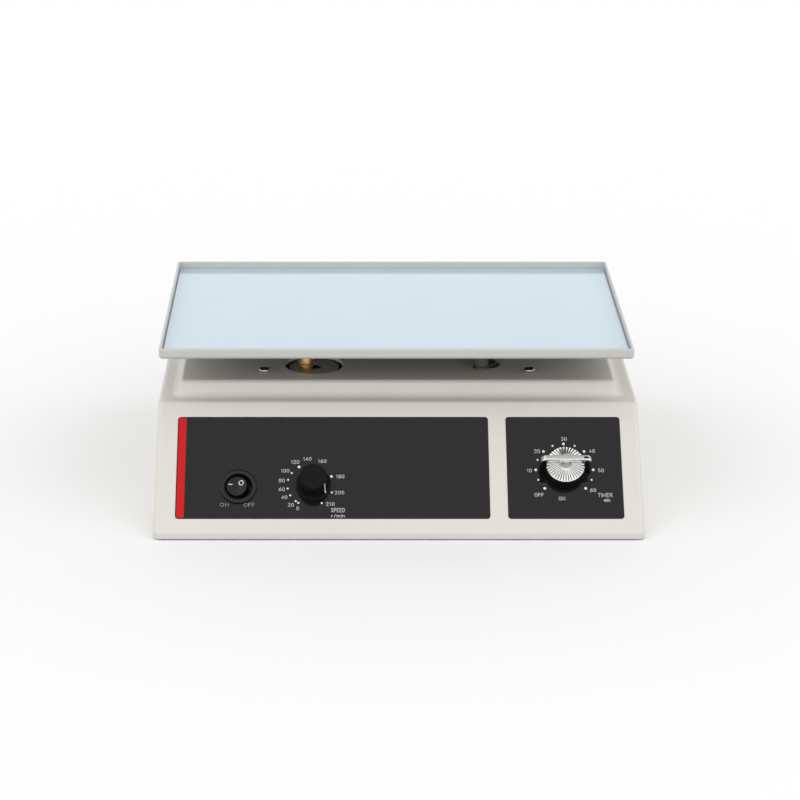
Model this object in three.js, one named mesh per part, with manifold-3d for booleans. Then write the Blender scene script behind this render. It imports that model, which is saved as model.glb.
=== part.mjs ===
// Orbital laboratory shaker, in millimetres, +Z up, its control face towards -Y, the origin on the bench
// under the middle of the body. One driven crank and three idler cranks carry a shallow tray in a circle.
import * as THREE from "three";
import { mergeVertices } from "three/addons/utils/BufferGeometryUtils.js";
import Module from "manifold-3d";

const wasm = await Module();
wasm.setup();

// Shared clearances
const seat = 0.3;
const runningGap = 0.4;
const overrun = 2;
const mergeDistance = 1e-4;

// Facets
const fineSides = 40;
const roundSides = 24;
const smallSides = 12;
const cornerSteps = 3;
const edgeSteps = 2;

// Housing
const housingWidth = 328;
const housingDepth = 278;
const housingWall = 2.5;
const benchGap = 0.8;
const skirtHeight = 4.6;
const faceRun = 70.8;
const faceRise = 67.8;
const bodyCorner = 4;
const shoulderRadius = 3;
const frontShelf = 12.1;
const sideShelf = 13.45;
const rearShelf = 7.5;
const deckRise = 11;
const deckCorner = 4;
const deckRadius = 3.2;
const bossRadius = 4.5;
const bossSide = 16;
const bossFront = 36;
const bossRear = 14;

// Base plate, feet and board posts
const plateUnderside = 4;
const plateThickness = 1.5;
const plateCorner = 3;
const plateGap = 0.5;
const footRadius = 8;
const footStemRadius = 2.5;
const footStemLength = 5;
const footSide = 24;
const footEnd = 24;
const postRadius = 3;
const postHeight = 6;
const ventLength = 34;
const ventWidth = 3;
const ventPitch = 8;
const ventCount = 4;

// Screws: shank radius, shank length, head radius, head height, cross recess width, span and depth
const deckScrew = { shank: 2, length: 9, head: 4, height: 3.1, slot: 0.9, span: 4.4, depth: 1.3 };
const baseScrew = { shank: 1.5, length: 9, head: 3, height: 1.9, slot: 0.8, span: 3.2, depth: 1 };
const trayScrew = { shank: 1.5, length: 3.4, head: 2.9, height: 1.2, slot: 0.8, span: 3, depth: 0.7 };

// Control face: panels are let into shallow recesses
const panelThickness = 0.8;
const panelRecess = 0.8;
const panelCorner = 2;
const panelFoot = 10.4;
const panelHeight = 75.8;
const panelSide = 14.3;
const timerPanelSide = 13.35;
const timerPanelWidth = 77.4;
const panelBridge = 12.2;
const stripeInset = 0.65;
const stripeWidth = 5.1;
const stripeRecess = 0.5;
const stripeThickness = 0.3;
const partGap = 0.2;

// Round rocker switch
const switchInset = 42;
const switchUp = 33.65;
const switchFlange = 12.4;
const switchFlangeHeight = 2;
const switchBarrel = 10;
const switchDepth = 17;
const switchMouth = 9.05;
const switchMouthDepth = 7.5;
const rockerRadius = 7.6;
const rockerPivotDepth = 1.5;
const rockerHigh = 4.6;
const rockerLow = 3.3;
const rockerBelow = 3;
const rockerTilt = 9;
const trunnionRadius = 1;
const bladeWidth = 4.8;
const bladeThickness = 0.8;
const bladeLength = 5;
const bladePitch = 6;

// Speed control
const speedInset = 92.3;
const speedUp = 34.85;
const speedBodyRadius = 11.5;
const speedBodyDepth = 9;
const bushRadius = 4.3;
const bushHeight = 3.4;
const nutFlats = 11;
const nutThickness = 2;
const spindleRadius = 3;
const spindleBelow = 7;
const speedKnobRadius = 12;
const speedKnobTop = 9;
const speedKnobHeight = 13.6;
const speedKnobFoot = 2.4;
const knobEdge = 0.8;
const knobLift = 0.6;
const knobRoof = 1.8;
const nutRecessRadius = 7.2;
const nutRecessDepth = 3.4;

// Timer
const timerUp = 46.35;
const timerBodyWidth = 40;
const timerBodyHeight = 36;
const timerBodyDepth = 20;
const timerBushRadius = 4.5;
const timerNutFlats = 12;
const timerSkirtRadius = 14.2;
const timerSkirtTop = 13.4;
const timerSkirtHeight = 7.4;
const timerCapRadius = 13;
const timerCapRim = 1.2;
const timerCapCone = 2;
const timerCapFlat = 5.4;
const fluteCount = 36;
const fluteDepth = 0.35;
const gripLength = 33.8;
const gripWidth = 3.7;
const gripWaist = 4.8;
const gripTop = 20;
const gripThickness = 2.6;
const gripDroop = 3.2;
const gripHub = 4.4;
const earWidth = 3.4;
const earFlare = 1.4;
const earFootHeight = 2.6;

// Crank stations, each this far inside an edge of the deck, and the circle that their pins make
const stationLeft = 92.75;
const stationRight = 86.75;
const stationFront = 35.6;
const stationRear = 54.4;
const crankThrow = 10;
const crankTurn = THREE.MathUtils.degToRad(236);

// Mounting plate under the deck
const mountThickness = 3;
const mountCorner = 6;
const mountSideEdge = 13.3;
const mountEndEdge = 11;
const screwBesideLeft = 34.4;
const screwBesideRight = 27.9;
const screwBeyondStation = 15.4;

// Driven crank
const rotorHole = 20.4;
const rotorRadius = 17.25;
const rotorThickness = 5;
const rotorRecess = 1.5;
const rotorHub = 7;
const rotorHubHeight = 6.5;
const rotorDish = 5.7;
const rotorDishDepth = 3;
const shaftRadius = 4;
const shaftBelow = 14;
const rotorScrewHead = 4.8;
const rotorScrewHeight = 2.3;
const rotorScrewShank = 2;
const rotorScrewLength = 7;
const rotorScrewSocket = 2.3;
const collarRadius = 4.3;
const collarHeight = 5.1;
const collarStud = 2.5;
const journalRadius = 3;
const journalHeight = 16;

// Gear motor and its cup-shaped bracket
const bracketFlange = 28;
const bracketRadius = 23.5;
const bracketSheet = 2.5;
const bracketDepth = 14;
const bracketMouth = 7;
const gearboxRadius = 28;
const gearboxHeight = 21;
const motorRadius = 24;
const motorHeight = 23;
const motorBoss = 6;
const motorBossHeight = 2;

// Idler cranks
const bearingRadius = 8;
const bearingLength = 24;
const bearingFlange = 14;
const bearingFlangeHeight = 3;
const armWidth = 10.8;
const armThickness = 1.6;
const idlerShaftLength = 24;
const idlerPinHeight = 17;
const sleeveRadius = 5.5;
const loopGap = 0.6;
const bushOuter = 5.2;
const bushRoof = 3.8;

// Tray and mat
const trayWidth = 320;
const trayDepth = 208.8;
const trayLift = 25.2;
const trayBesidePins = 1.15;
const trayBeforePins = 1.5;
const traySheet = 1.5;
const trayRim = 7.5;
const trayBend = 2.5;
const trayCorner = 2.6;
const matThickness = 1;
const matGap = 0.5;

// Control board and transformer on the base plate
const boardSide = 68;
const boardRear = 50;
const boardWidth = 84;
const boardDepth = 58;
const boardThickness = 1.6;
const boardPostInset = 5;
const capacitorRadius = 6;
const capacitorHeight = 16;
const sinkWidth = 10;
const sinkDepth = 30;
const sinkHeight = 20;
const transformerSide = 72;
const transformerRear = 54;
const coreWidth = 50;
const coreDepth = 24;
const coreHeight = 42;
const coilWidth = 34;
const coilDepth = 40;
const coilHeight = 28;

// Mains inlet and fuse holder on the rear wall
const rearProud = 2;
const inletSide = 52;
const inletZ = 38;
const inletFlangeWidth = 50;
const inletFlangeHeight = 24;
const inletBodyWidth = 27.6;
const inletBodyHeight = 20;
const inletBodyDepth = 20;
const inletWall = 1.8;
const inletSocketDepth = 15;
const inletPinWidth = 2;
const inletPinHeight = 4;
const inletPinLength = 8.5;
const inletPinPitch = 7;
const fuseBesideInlet = 46;
const fuseRadius = 6.2;
const fuseFlange = 8;
const fuseDepth = 24;
const fuseSlot = 1.2;
const fuseSlotLength = 9;
const fuseSlotDepth = 0.8;

// Places worked out from the sizes above
const frontY = -(housingDepth + rearProud) / 2;
const backY = frontY + housingDepth;
const halfWidth = housingWidth / 2;
const faceAngle = Math.atan2(faceRise, faceRun);
const faceFoot = benchGap + skirtHeight;
const shoulderZ = faceFoot + faceRise;
const deckZ = shoulderZ + deckRise;
const deckFront = frontY + faceRun + frontShelf;
const deckBack = backY - rearShelf;
const deckHalf = halfWidth - sideShelf;
const ceiling = deckZ - housingWall;
const plateTop = plateUnderside + plateThickness;
const mountTop = ceiling - seat;
const mountUnder = mountTop - mountThickness;
const rotorTop = deckZ - rotorRecess;
const collarTop = rotorTop + seat + collarHeight;
const bracketTop = mountUnder - seat;
const bracketUnder = bracketTop - bracketDepth;
const armUnder = deckZ + runningGap;
const armTop = armUnder + armThickness;
const trayUnder = deckZ + trayLift;
const trayFloor = trayUnder + traySheet;
const panelTop = panelThickness + seat - panelRecess;
const panelLeft = panelSide - halfWidth;
const timerPanelRight = halfWidth - timerPanelSide;
const timerPanelLeft = timerPanelRight - timerPanelWidth;
const panelRight = timerPanelLeft - panelBridge;
const switchX = panelLeft + switchInset;
const speedX = panelLeft + speedInset;
const timerX = (timerPanelLeft + timerPanelRight) / 2;
const leftStation = stationLeft - deckHalf;
const rightStation = deckHalf - stationRight;
const frontStation = deckFront + stationFront;
const rearStation = deckBack - stationRear;
const tableX = (leftStation + rightStation) / 2 + trayBesidePins;
const tableY = (frontStation + rearStation) / 2 - trayBeforePins;
const screwLeft = leftStation - screwBesideLeft;
const screwRight = rightStation + screwBesideRight;
const screwFront = frontStation - screwBeyondStation;
const screwRear = rearStation + screwBeyondStation;
const boardX = boardSide - halfWidth;
const boardY = backY - boardRear;
const inletX = inletSide - halfWidth;
const fuseX = inletX + fuseBesideInlet;

// Solids: a closed geometry becomes a solid that can be joined and cut
function solid(shape) {
  if (!shape.isBufferGeometry) return shape;
  const bare = new THREE.BufferGeometry();
  bare.setAttribute("position", shape.getAttribute("position"));
  bare.setIndex(shape.index);
  const merged = mergeVertices(bare, mergeDistance);
  const vertices = merged.index.array;
  const corners = [];
  for (let i = 0; i < vertices.length; i += 3) {
    const [a, b, c] = vertices.slice(i, i + 3);
    if (a !== b && b !== c && c !== a) corners.push(a, b, c);
  }
  const vertProperties = merged.getAttribute("position").array;
  return new wasm.Manifold(new wasm.Mesh({ numProp: 3, vertProperties, triVerts: new Uint32Array(corners) }));
}

function join(first, ...others) {
  return others.reduce((whole, other) => whole.add(solid(other)), solid(first));
}

function cut(first, ...tools) {
  return tools.reduce((whole, tool) => whole.subtract(solid(tool)), solid(first));
}

function common(first, second) {
  return solid(first).intersect(solid(second));
}

function finish(colour, roughness, metalness) {
  return { color: colour, roughness, metalness };
}

// A named sub-part with its own material
function piece(name, shape, look) {
  const made = solid(shape).getMesh();
  const geometry = new THREE.BufferGeometry();
  geometry.setAttribute("position", new THREE.BufferAttribute(made.vertProperties, made.numProp));
  geometry.setIndex(new THREE.BufferAttribute(made.triVerts, 1));
  geometry.computeVertexNormals();
  const mesh = new THREE.Mesh(geometry, new THREE.MeshStandardMaterial(look));
  mesh.name = name;
  return mesh;
}

// Basic shapes, each standing between two heights
function rod(radius, low, high, x = 0, y = 0, sides = roundSides) {
  const made = new THREE.CylinderGeometry(radius, radius, high - low, sides);
  return made.rotateX(Math.PI / 2).translate(x, y, (low + high) / 2);
}

function block(width, depth, low, high, x = 0, y = 0) {
  return new THREE.BoxGeometry(width, depth, high - low).translate(x, y, (low + high) / 2);
}

function slab(outline, low, high) {
  const shape = new THREE.Shape(outline.map(([x, y]) => new THREE.Vector2(x, y)));
  const made = new THREE.ExtrudeGeometry(shape, { depth: high - low, bevelEnabled: false });
  return made.translate(0, 0, low);
}

function hexagon(flats, low, high) {
  return rod(flats / Math.sqrt(3), low, high, 0, 0, 6);
}

// A profile of radius and height points turned about Z, listed from the foot on the axis to the top
function turned(profile, sides = roundSides) {
  const points = profile.map(([radius, height]) => new THREE.Vector2(radius, height));
  return new THREE.LatheGeometry(points, sides).rotateX(Math.PI / 2);
}

// A rectangle with rounded corners, counter-clockwise from above
function roundedOutline(left, right, front, back, radius) {
  const corners = [
    [right - radius, front + radius],
    [right - radius, back - radius],
    [left + radius, back - radius],
    [left + radius, front + radius],
  ];
  return corners.flatMap(([x, y], corner) =>
    Array.from({ length: cornerSteps + 1 }, (_, step) => {
      const angle = (Math.PI / 2) * (corner - 1 + step / cornerSteps);
      return [x + radius * Math.cos(angle), y + radius * Math.sin(angle)];
    }),
  );
}

// A solid through a stack of outlines with as many points each, lowest first
function stacked(layers) {
  const count = layers[0].outline.length;
  const positions = layers.flatMap(({ height, outline }) => outline.flatMap(([x, y]) => [x, y, height]));
  const index = [];
  for (let level = 0; level + 1 < layers.length; level++)
    for (let i = 0; i < count; i++) {
      const a = level * count + i;
      const b = level * count + ((i + 1) % count);
      index.push(a, b, b + count, a, b + count, a + count);
    }
  const top = (layers.length - 1) * count;
  for (let i = 1; i + 1 < count; i++) {
    index.push(0, i + 1, i);
    index.push(top, top + i, top + i + 1);
  }
  const made = new THREE.BufferGeometry();
  made.setAttribute("position", new THREE.Float32BufferAttribute(positions, 3));
  made.setIndex(index);
  return made;
}

// Height and inset of each step of a rounded top edge
function roundedEdge(top, radius) {
  return Array.from({ length: edgeSteps + 1 }, (_, step) => {
    const angle = ((Math.PI / 2) * step) / edgeSteps;
    return { height: top - radius + radius * Math.sin(angle), inset: radius * (1 - Math.cos(angle)) };
  });
}

// The bend where the control face meets the shoulder reaches this far along each of them
const bendReach = shoulderRadius * Math.tan(faceAngle / 2);

// How far back the front of the housing lies at a height
function frontAt(height) {
  if (height <= faceFoot) return frontY;
  const slope = frontY + (height - faceFoot) / Math.tan(faceAngle);
  if (height <= shoulderZ - bendReach * Math.sin(faceAngle)) return slope;
  const rise = height - shoulderZ + shoulderRadius;
  const bend = Math.sqrt(Math.max(0, shoulderRadius ** 2 - rise ** 2));
  return frontY + faceRun + bendReach - bend;
}

// The housing: a hollow shell open below
function housingOuter() {
  const bodyLayer = (height, inset) => ({
    height,
    outline: roundedOutline(
      inset - halfWidth, halfWidth - inset, frontAt(height), backY - inset, bodyCorner - inset,
    ),
  });
  const body = stacked([
    bodyLayer(benchGap, 0),
    bodyLayer(faceFoot, 0),
    ...roundedEdge(shoulderZ, shoulderRadius).map(({ height, inset }) => bodyLayer(height, inset)),
  ]);
  const deckLayer = (height, inset) => ({
    height,
    outline: roundedOutline(
      inset - deckHalf, deckHalf - inset, deckFront + inset, deckBack - inset, deckCorner - inset,
    ),
  });
  const deck = stacked([
    deckLayer(shoulderZ - housingWall, 0),
    ...roundedEdge(deckZ, deckRadius).map(({ height, inset }) => deckLayer(height, inset)),
  ]);
  return join(body, deck);
}

function housingInner() {
  const back = backY - housingWall;
  const half = halfWidth - housingWall;
  const corner = bodyCorner - housingWall;
  const slopeSetback = housingWall / Math.sin(faceAngle);
  const innerFoot = faceFoot - (slopeSetback - housingWall) * Math.tan(faceAngle);
  const innerTop = shoulderZ - housingWall;
  const innerFront = frontY + slopeSetback + (innerTop - faceFoot) / Math.tan(faceAngle);
  const layer = (height, front) => ({ height, outline: roundedOutline(-half, half, front, back, corner) });
  const body = stacked([
    layer(benchGap - overrun, frontY + housingWall),
    layer(innerFoot, frontY + housingWall),
    layer(innerTop, innerFront),
  ]);
  const deckInner = roundedOutline(
    housingWall - deckHalf, deckHalf - housingWall, deckFront + housingWall, deckBack - housingWall,
    deckCorner - housingWall,
  );
  return join(body, slab(deckInner, innerTop - overrun, ceiling));
}

// Fixed places, each as [x, y, name ending]
const bossPlaces = [
  [bossSide - halfWidth, frontY + bossFront, "front_left"],
  [halfWidth - bossSide, frontY + bossFront, "front_right"],
  [bossSide - halfWidth, backY - bossRear, "rear_left"],
  [halfWidth - bossSide, backY - bossRear, "rear_right"],
];
const footPlaces = [
  [footSide - halfWidth, frontY + footEnd, "front_left"],
  [halfWidth - footSide, frontY + footEnd, "front_right"],
  [footSide - halfWidth, backY - footEnd, "rear_left"],
  [halfWidth - footSide, backY - footEnd, "rear_right"],
];
const deckScrewPlaces = [
  [screwLeft, screwFront, "front_left"],
  [screwRight, screwFront, "front_right"],
  [screwLeft, screwRear, "rear_left"],
  [screwRight, screwRear, "rear_right"],
];
// Crank stations: the front left one is driven
const driveX = leftStation;
const driveY = frontStation;
const idlerPlaces = [
  [rightStation, frontStation, "front_right"],
  [leftStation, rearStation, "rear_left"],
  [rightStation, rearStation, "rear_right"],
];
// The same four stations about the middle of the table, where the tray's bushes are
const bushPlaces = [[driveX, driveY, "front_left"], ...idlerPlaces]
  .map(([x, y, end]) => [x - tableX, y - tableY, end]);

// Pieces on the control face are made in its own frame: X right, Y up the slope, Z out of it
const faceMatrix = new THREE.Matrix4()
  .makeRotationX(faceAngle)
  .setPosition(0, frontY, faceFoot);

function onFace(geometry) {
  return geometry.applyMatrix4(faceMatrix);
}

const panelOutline = roundedOutline(panelLeft, panelRight, panelFoot, panelFoot + panelHeight, panelCorner);
const timerOutline = roundedOutline(
  timerPanelLeft, timerPanelRight, panelFoot, panelFoot + panelHeight, panelCorner,
);

function recessFor([left, right]) {
  const outline = roundedOutline(
    left - partGap, right + partGap, panelFoot - partGap, panelFoot + panelHeight + partGap,
    panelCorner + partGap,
  );
  return onFace(slab(outline, -panelRecess, overrun));
}

function makeHousing() {
  const outer = housingOuter();
  const shell = cut(outer, housingInner());
  const bosses = bossPlaces.map(([x, y]) =>
    common(rod(bossRadius, plateTop + seat, shoulderZ, x, y, smallSides), outer),
  );
  const screwHole = baseScrew.shank + seat;
  const holeTop = plateTop + baseScrew.length;
  const below = -panelRecess - housingWall - overrun;
  return cut(
    join(shell, ...bosses),
    ...bossPlaces.map(([x, y]) => rod(screwHole, plateTop - overrun, holeTop, x, y, smallSides)),
    recessFor([panelLeft, panelRight]),
    recessFor([timerPanelLeft, timerPanelRight]),
    onFace(rod(switchBarrel + seat, below, overrun, switchX, switchUp)),
    onFace(rod(bushRadius + seat, below, overrun, speedX, speedUp)),
    onFace(rod(timerBushRadius + seat, below, overrun, timerX, timerUp)),
    rod(rotorHole, ceiling - overrun, deckZ + overrun, driveX, driveY, fineSides),
    ...idlerPlaces.map(([x, y]) => rod(bearingRadius + seat, ceiling - overrun, deckZ + overrun, x, y)),
    ...deckScrewPlaces.map(([x, y]) =>
      rod(deckScrew.shank + seat, ceiling - overrun, deckZ + overrun, x, y, smallSides),
    ),
    block(
      inletBodyWidth + 2 * seat, rearProud + 2 * housingWall,
      inletZ - inletBodyHeight / 2 - seat, inletZ + inletBodyHeight / 2 + seat, inletX, backY,
    ),
    rearRod(fuseRadius + seat, -housingWall - overrun, overrun, fuseX),
  );
}

// A rod through the rear wall, between two distances from its outer face, outwards positive
function rearRod(radius, inner, outer, x) {
  return rod(radius, inner, outer).rotateX(-Math.PI / 2).translate(x, backY, inletZ);
}

// A rectangular piece on the rear wall, between two distances from its outer face
function rearBlock(width, height, inner, outer, x) {
  const low = inletZ - height / 2;
  return block(width, outer - inner, low, low + height, x, backY + (inner + outer) / 2);
}

function screw({ shank, length, head, height, slot, span, depth }, headProfile) {
  const body = turned([[0, -length], [shank, -length], ...headProfile], smallSides);
  return cut(
    body,
    block(span, slot, height - depth, height + overrun),
    block(slot, span, height - depth, height + overrun),
  );
}

// Head profiles as shares of the head's radius and height
const panHeadShares = [[1, 0], [1, 0.5], [0.72, 1], [0, 1]];

function panScrew(size) {
  const head = panHeadShares.map(([across, up]) => [across * size.head, up * size.height]);
  return screw(size, [[size.shank, 0], ...head]);
}

// A flat-head screw: its head's top lies at the height named for a pan head's top
function flatScrew(size) {
  return screw(size, [[size.shank, 0], [size.head, size.height], [0, size.height]]);
}

// The base closes the housing and carries the feet and the electrical parts
function makeBasePlate() {
  const inset = housingWall + plateGap;
  const slopeSetback = housingWall / Math.sin(faceAngle) + (plateTop - faceFoot) / Math.tan(faceAngle);
  const outline = roundedOutline(
    inset - halfWidth, halfWidth - inset,
    frontY + Math.max(housingWall, slopeSetback) + plateGap, backY - inset, plateCorner,
  );
  const posts = boardPosts().map(([x, y]) =>
    rod(postRadius, plateUnderside, plateTop + postHeight, x, y, smallSides),
  );
  const low = plateUnderside - overrun;
  const high = plateTop + overrun;
  const vents = Array.from({ length: ventCount }, (_, i) => {
    const y = driveY + (i - (ventCount - 1) / 2) * ventPitch;
    const outline = roundedOutline(
      driveX - ventLength / 2, driveX + ventLength / 2, y - ventWidth / 2, y + ventWidth / 2, ventWidth / 2,
    );
    return slab(outline, low, high);
  });
  return cut(
    join(slab(outline, plateUnderside, plateTop), ...posts),
    ...bossPlaces.map(([x, y]) => rod(baseScrew.shank + seat, low, high, x, y, smallSides)),
    ...footPlaces.map(([x, y]) => rod(footStemRadius + seat, low, high, x, y, smallSides)),
    ...vents,
  );
}

function boardPosts() {
  const across = boardWidth / 2 - boardPostInset;
  const along = boardDepth / 2 - boardPostInset;
  return [[-across, -along], [across, -along], [-across, along], [across, along]]
    .map(([x, y]) => [boardX + x, boardY + y]);
}

function makeFoot() {
  const top = plateUnderside - seat;
  return turned([
    [0, 0], [footRadius, 0], [footRadius, top], [footStemRadius, top],
    [footStemRadius, top + footStemLength], [0, top + footStemLength],
  ], smallSides);
}

function makeMountingPlate() {
  const outline = roundedOutline(
    screwLeft - mountSideEdge, screwRight + mountSideEdge,
    screwFront - mountEndEdge, screwRear + mountEndEdge, mountCorner,
  );
  const low = mountUnder - overrun;
  const high = mountTop + overrun;
  return cut(
    slab(outline, mountUnder, mountTop),
    rod(rotorHole, low, high, driveX, driveY),
    ...idlerPlaces.map(([x, y]) => rod(bearingRadius + seat, low, high, x, y)),
    ...deckScrewPlaces.map(([x, y]) => rod(deckScrew.shank + seat, low, high, x, y, smallSides)),
  );
}

// The driven crank, in the frame of its own axis with X towards the pin
function makeRotorDisc() {
  const bore = shaftRadius + seat;
  const under = rotorTop - rotorThickness;
  const dishFloor = rotorTop - rotorDishDepth;
  const disc = turned([
    [0, under - rotorHubHeight], [rotorHub, under - rotorHubHeight], [rotorHub, under],
    [rotorRadius, under], [rotorRadius, rotorTop], [0, rotorTop],
  ], fineSides);
  return cut(
    disc,
    rod(rotorDish, dishFloor, rotorTop + overrun),
    rod(bore, under - rotorHubHeight - overrun, dishFloor + overrun),
    rod(collarStud + seat, under - overrun, rotorTop + overrun, crankThrow, 0, smallSides),
  );
}

function makeMotorShaft() {
  const top = rotorTop - rotorDishDepth - seat;
  const shaft = rod(shaftRadius, bracketUnder - shaftBelow, top);
  const holeFoot = top - rotorScrewLength - overrun;
  return cut(shaft, rod(rotorScrewShank + seat, holeFoot, top + overrun, 0, 0, smallSides));
}

function makeRotorScrew() {
  const seatHeight = rotorTop - rotorDishDepth + seat;
  const head = seatHeight + rotorScrewHeight;
  const body = turned([
    [0, seatHeight - rotorScrewLength], [rotorScrewShank, seatHeight - rotorScrewLength],
    [rotorScrewShank, seatHeight], [rotorScrewHead, seatHeight],
    [rotorScrewHead, head], [0, head],
  ]);
  return cut(body, hexagon(rotorScrewSocket * 2, head - rotorScrewHeight / 2, head + overrun));
}

function makeCrankPin() {
  const foot = rotorTop - rotorThickness;
  return turned([
    [0, foot], [collarStud, foot], [collarStud, rotorTop + seat], [collarRadius, rotorTop + seat],
    [collarRadius, collarTop], [journalRadius, collarTop],
    [journalRadius, collarTop + journalHeight], [0, collarTop + journalHeight],
  ]);
}

// The cup-shaped bracket holds the gear motor below the mounting plate and clears the rotor
function makeBracket() {
  const floorTop = bracketUnder + bracketSheet;
  const flangeUnder = bracketTop - bracketSheet;
  const cup = turned([
    [0, bracketUnder], [bracketRadius, bracketUnder], [bracketRadius, flangeUnder],
    [bracketFlange, flangeUnder], [bracketFlange, bracketTop], [0, bracketTop],
  ]);
  return cut(
    cup,
    rod(bracketRadius - bracketSheet, floorTop, bracketTop + overrun),
    rod(bracketMouth, bracketUnder - overrun, floorTop + overrun),
  );
}

function makeGearMotor() {
  const top = bracketUnder - seat;
  const gearboxFoot = top - gearboxHeight;
  const motorFoot = gearboxFoot - motorHeight;
  const body = turned([
    [0, motorFoot], [motorRadius, motorFoot], [motorRadius, gearboxFoot], [gearboxRadius, gearboxFoot],
    [gearboxRadius, top], [motorBoss, top], [motorBoss, top + motorBossHeight], [0, top + motorBossHeight],
  ]);
  const bore = rod(shaftRadius + seat, bracketUnder - shaftBelow - seat, top + motorBossHeight + overrun);
  return cut(body, bore);
}

// An idler crank, in the frame of its own axis with X towards the pin
function makeIdlerBearing() {
  const foot = deckZ - bearingLength;
  const flangeTop = mountUnder - seat;
  const body = turned([
    [0, foot], [bearingRadius, foot], [bearingRadius, flangeTop - bearingFlangeHeight],
    [bearingFlange, flangeTop - bearingFlangeHeight], [bearingFlange, flangeTop],
    [bearingRadius, flangeTop], [bearingRadius, deckZ], [0, deckZ],
  ]);
  return cut(body, rod(shaftRadius + seat, foot - overrun, deckZ + overrun));
}

function makeIdlerCrank() {
  const half = armWidth / 2;
  const arm = slab(roundedOutline(-half, crankThrow + half, -half, half, half), armUnder, armTop);
  return cut(
    join(arm, rod(shaftRadius, armUnder - idlerShaftLength, armTop)),
    rod(journalRadius + seat, armUnder - overrun, armTop + overrun, crankThrow, 0),
  );
}

function makeIdlerPin() {
  return rod(journalRadius, armUnder, armTop + idlerPinHeight, crankThrow, 0);
}

// Bushes hang from the tray floor, each over one pin
function makeBush(radius, foot, gap) {
  const top = trayUnder - seat;
  return cut(
    rod(radius, foot, top),
    rod(journalRadius + gap, foot - overrun, top - bushRoof),
    rod(trayScrew.shank + seat, top - bushRoof - overrun, top + overrun, 0, 0, smallSides),
  );
}

// The tray: a shallow sheet-metal pan, made about its own middle
function trayLayers(heights, inset, corner) {
  const across = trayWidth / 2 - inset;
  const along = trayDepth / 2 - inset;
  return stacked(heights.map(({ height, extra }) => ({
    height,
    outline: roundedOutline(extra - across, across - extra, extra - along, along - extra, corner),
  })));
}

function makeTray() {
  const bend = (floor, radius) => Array.from({ length: edgeSteps + 1 }, (_, step) => {
    const angle = ((Math.PI / 2) * step) / edgeSteps;
    return { height: floor + radius * (1 - Math.cos(angle)), extra: radius * (1 - Math.sin(angle)) };
  });
  const rimTop = trayUnder + trayRim;
  const outer = trayLayers([...bend(trayUnder, trayBend), { height: rimTop, extra: 0 }], 0, trayCorner);
  const inner = trayLayers(
    [...bend(trayFloor, trayBend - traySheet), { height: rimTop + overrun, extra: 0 }],
    traySheet, trayCorner - traySheet,
  );
  const holes = bushPlaces.map(([x, y]) =>
    turned([
      [0, trayUnder - overrun], [trayScrew.shank + seat, trayUnder - overrun],
      [trayScrew.shank + seat, screwSeat()], [trayScrew.head + seat, trayFloor],
      [trayScrew.head + seat, trayFloor + overrun], [0, trayFloor + overrun],
    ], smallSides).translate(x, y, 0),
  );
  return cut(outer, inner, ...holes);
}

// Where the flat head of a tray screw starts, just under the tray floor's top
function screwSeat() {
  return trayFloor - partGap - trayScrew.height;
}

function makeMat() {
  const half = trayWidth / 2 - traySheet - matGap;
  const along = trayDepth / 2 - traySheet - matGap;
  const outline = roundedOutline(-half, half, -along, along, trayCorner - traySheet);
  return slab(outline, trayFloor + seat, trayFloor + seat + matThickness);
}

// Control panel parts, in the frame of the face
function makeControlPanel() {
  const low = seat - panelRecess;
  const stripe = block(
    stripeWidth + 2 * partGap, panelHeight - 2 * (stripeInset - partGap),
    panelTop - stripeRecess, panelTop + overrun,
    panelLeft + stripeInset + stripeWidth / 2, panelFoot + panelHeight / 2,
  );
  return cut(
    slab(panelOutline, low, panelTop),
    stripe,
    rod(switchBarrel + seat, low - overrun, panelTop + overrun, switchX, switchUp),
    rod(bushRadius + seat, low - overrun, panelTop + overrun, speedX, speedUp),
  );
}

function makeStripe() {
  const low = panelTop - stripeRecess + seat;
  return block(
    stripeWidth, panelHeight - 2 * stripeInset, low, low + stripeThickness,
    panelLeft + stripeInset + stripeWidth / 2, panelFoot + panelHeight / 2,
  );
}

function makeTimerPanel() {
  const low = seat - panelRecess;
  return cut(
    slab(timerOutline, low, panelTop),
    rod(timerBushRadius + seat, low - overrun, panelTop + overrun, timerX, timerUp),
  );
}

// Pieces about the axis of one control: Z = 0 on the housing's sloped face
const flangeFoot = panelTop + seat;

function makeSwitchBody() {
  const flangeTop = flangeFoot + switchFlangeHeight;
  const body = turned([
    [0, -switchDepth], [switchBarrel, -switchDepth], [switchBarrel, flangeFoot],
    [switchFlange, flangeFoot], [switchFlange, flangeTop - knobEdge],
    [switchFlange - knobEdge, flangeTop], [0, flangeTop],
  ]);
  const blades = [-bladePitch, 0, bladePitch].map((x) =>
    block(bladeThickness, bladeWidth, -switchDepth - bladeLength, overrun - switchDepth, x, 0),
  );
  const reach = switchBarrel + overrun;
  const trunnionHole = rod(trunnionRadius + seat, -reach, reach, 0, 0, smallSides)
    .rotateX(Math.PI / 2)
    .translate(0, 0, -rockerPivotDepth);
  return cut(
    join(body, ...blades),
    rod(switchMouth, -switchMouthDepth, flangeTop + overrun),
    trunnionHole,
  );
}

// The rocker, about its pivot: two faces that rise from the middle to both ends
function makeRocker() {
  const outline = [
    [-rockerRadius, -rockerBelow], [rockerRadius, -rockerBelow],
    [rockerRadius, rockerHigh], [0, rockerLow], [-rockerRadius, rockerHigh],
  ];
  const wedge = slab(outline, -rockerRadius, rockerRadius).rotateX(Math.PI / 2);
  const trunnion = rod(trunnionRadius, -switchBarrel + partGap, switchBarrel - partGap, 0, 0, smallSides)
    .rotateX(Math.PI / 2);
  return join(common(wedge, rod(rockerRadius, -rockerBelow - overrun, rockerHigh + overrun)), trunnion);
}

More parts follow.
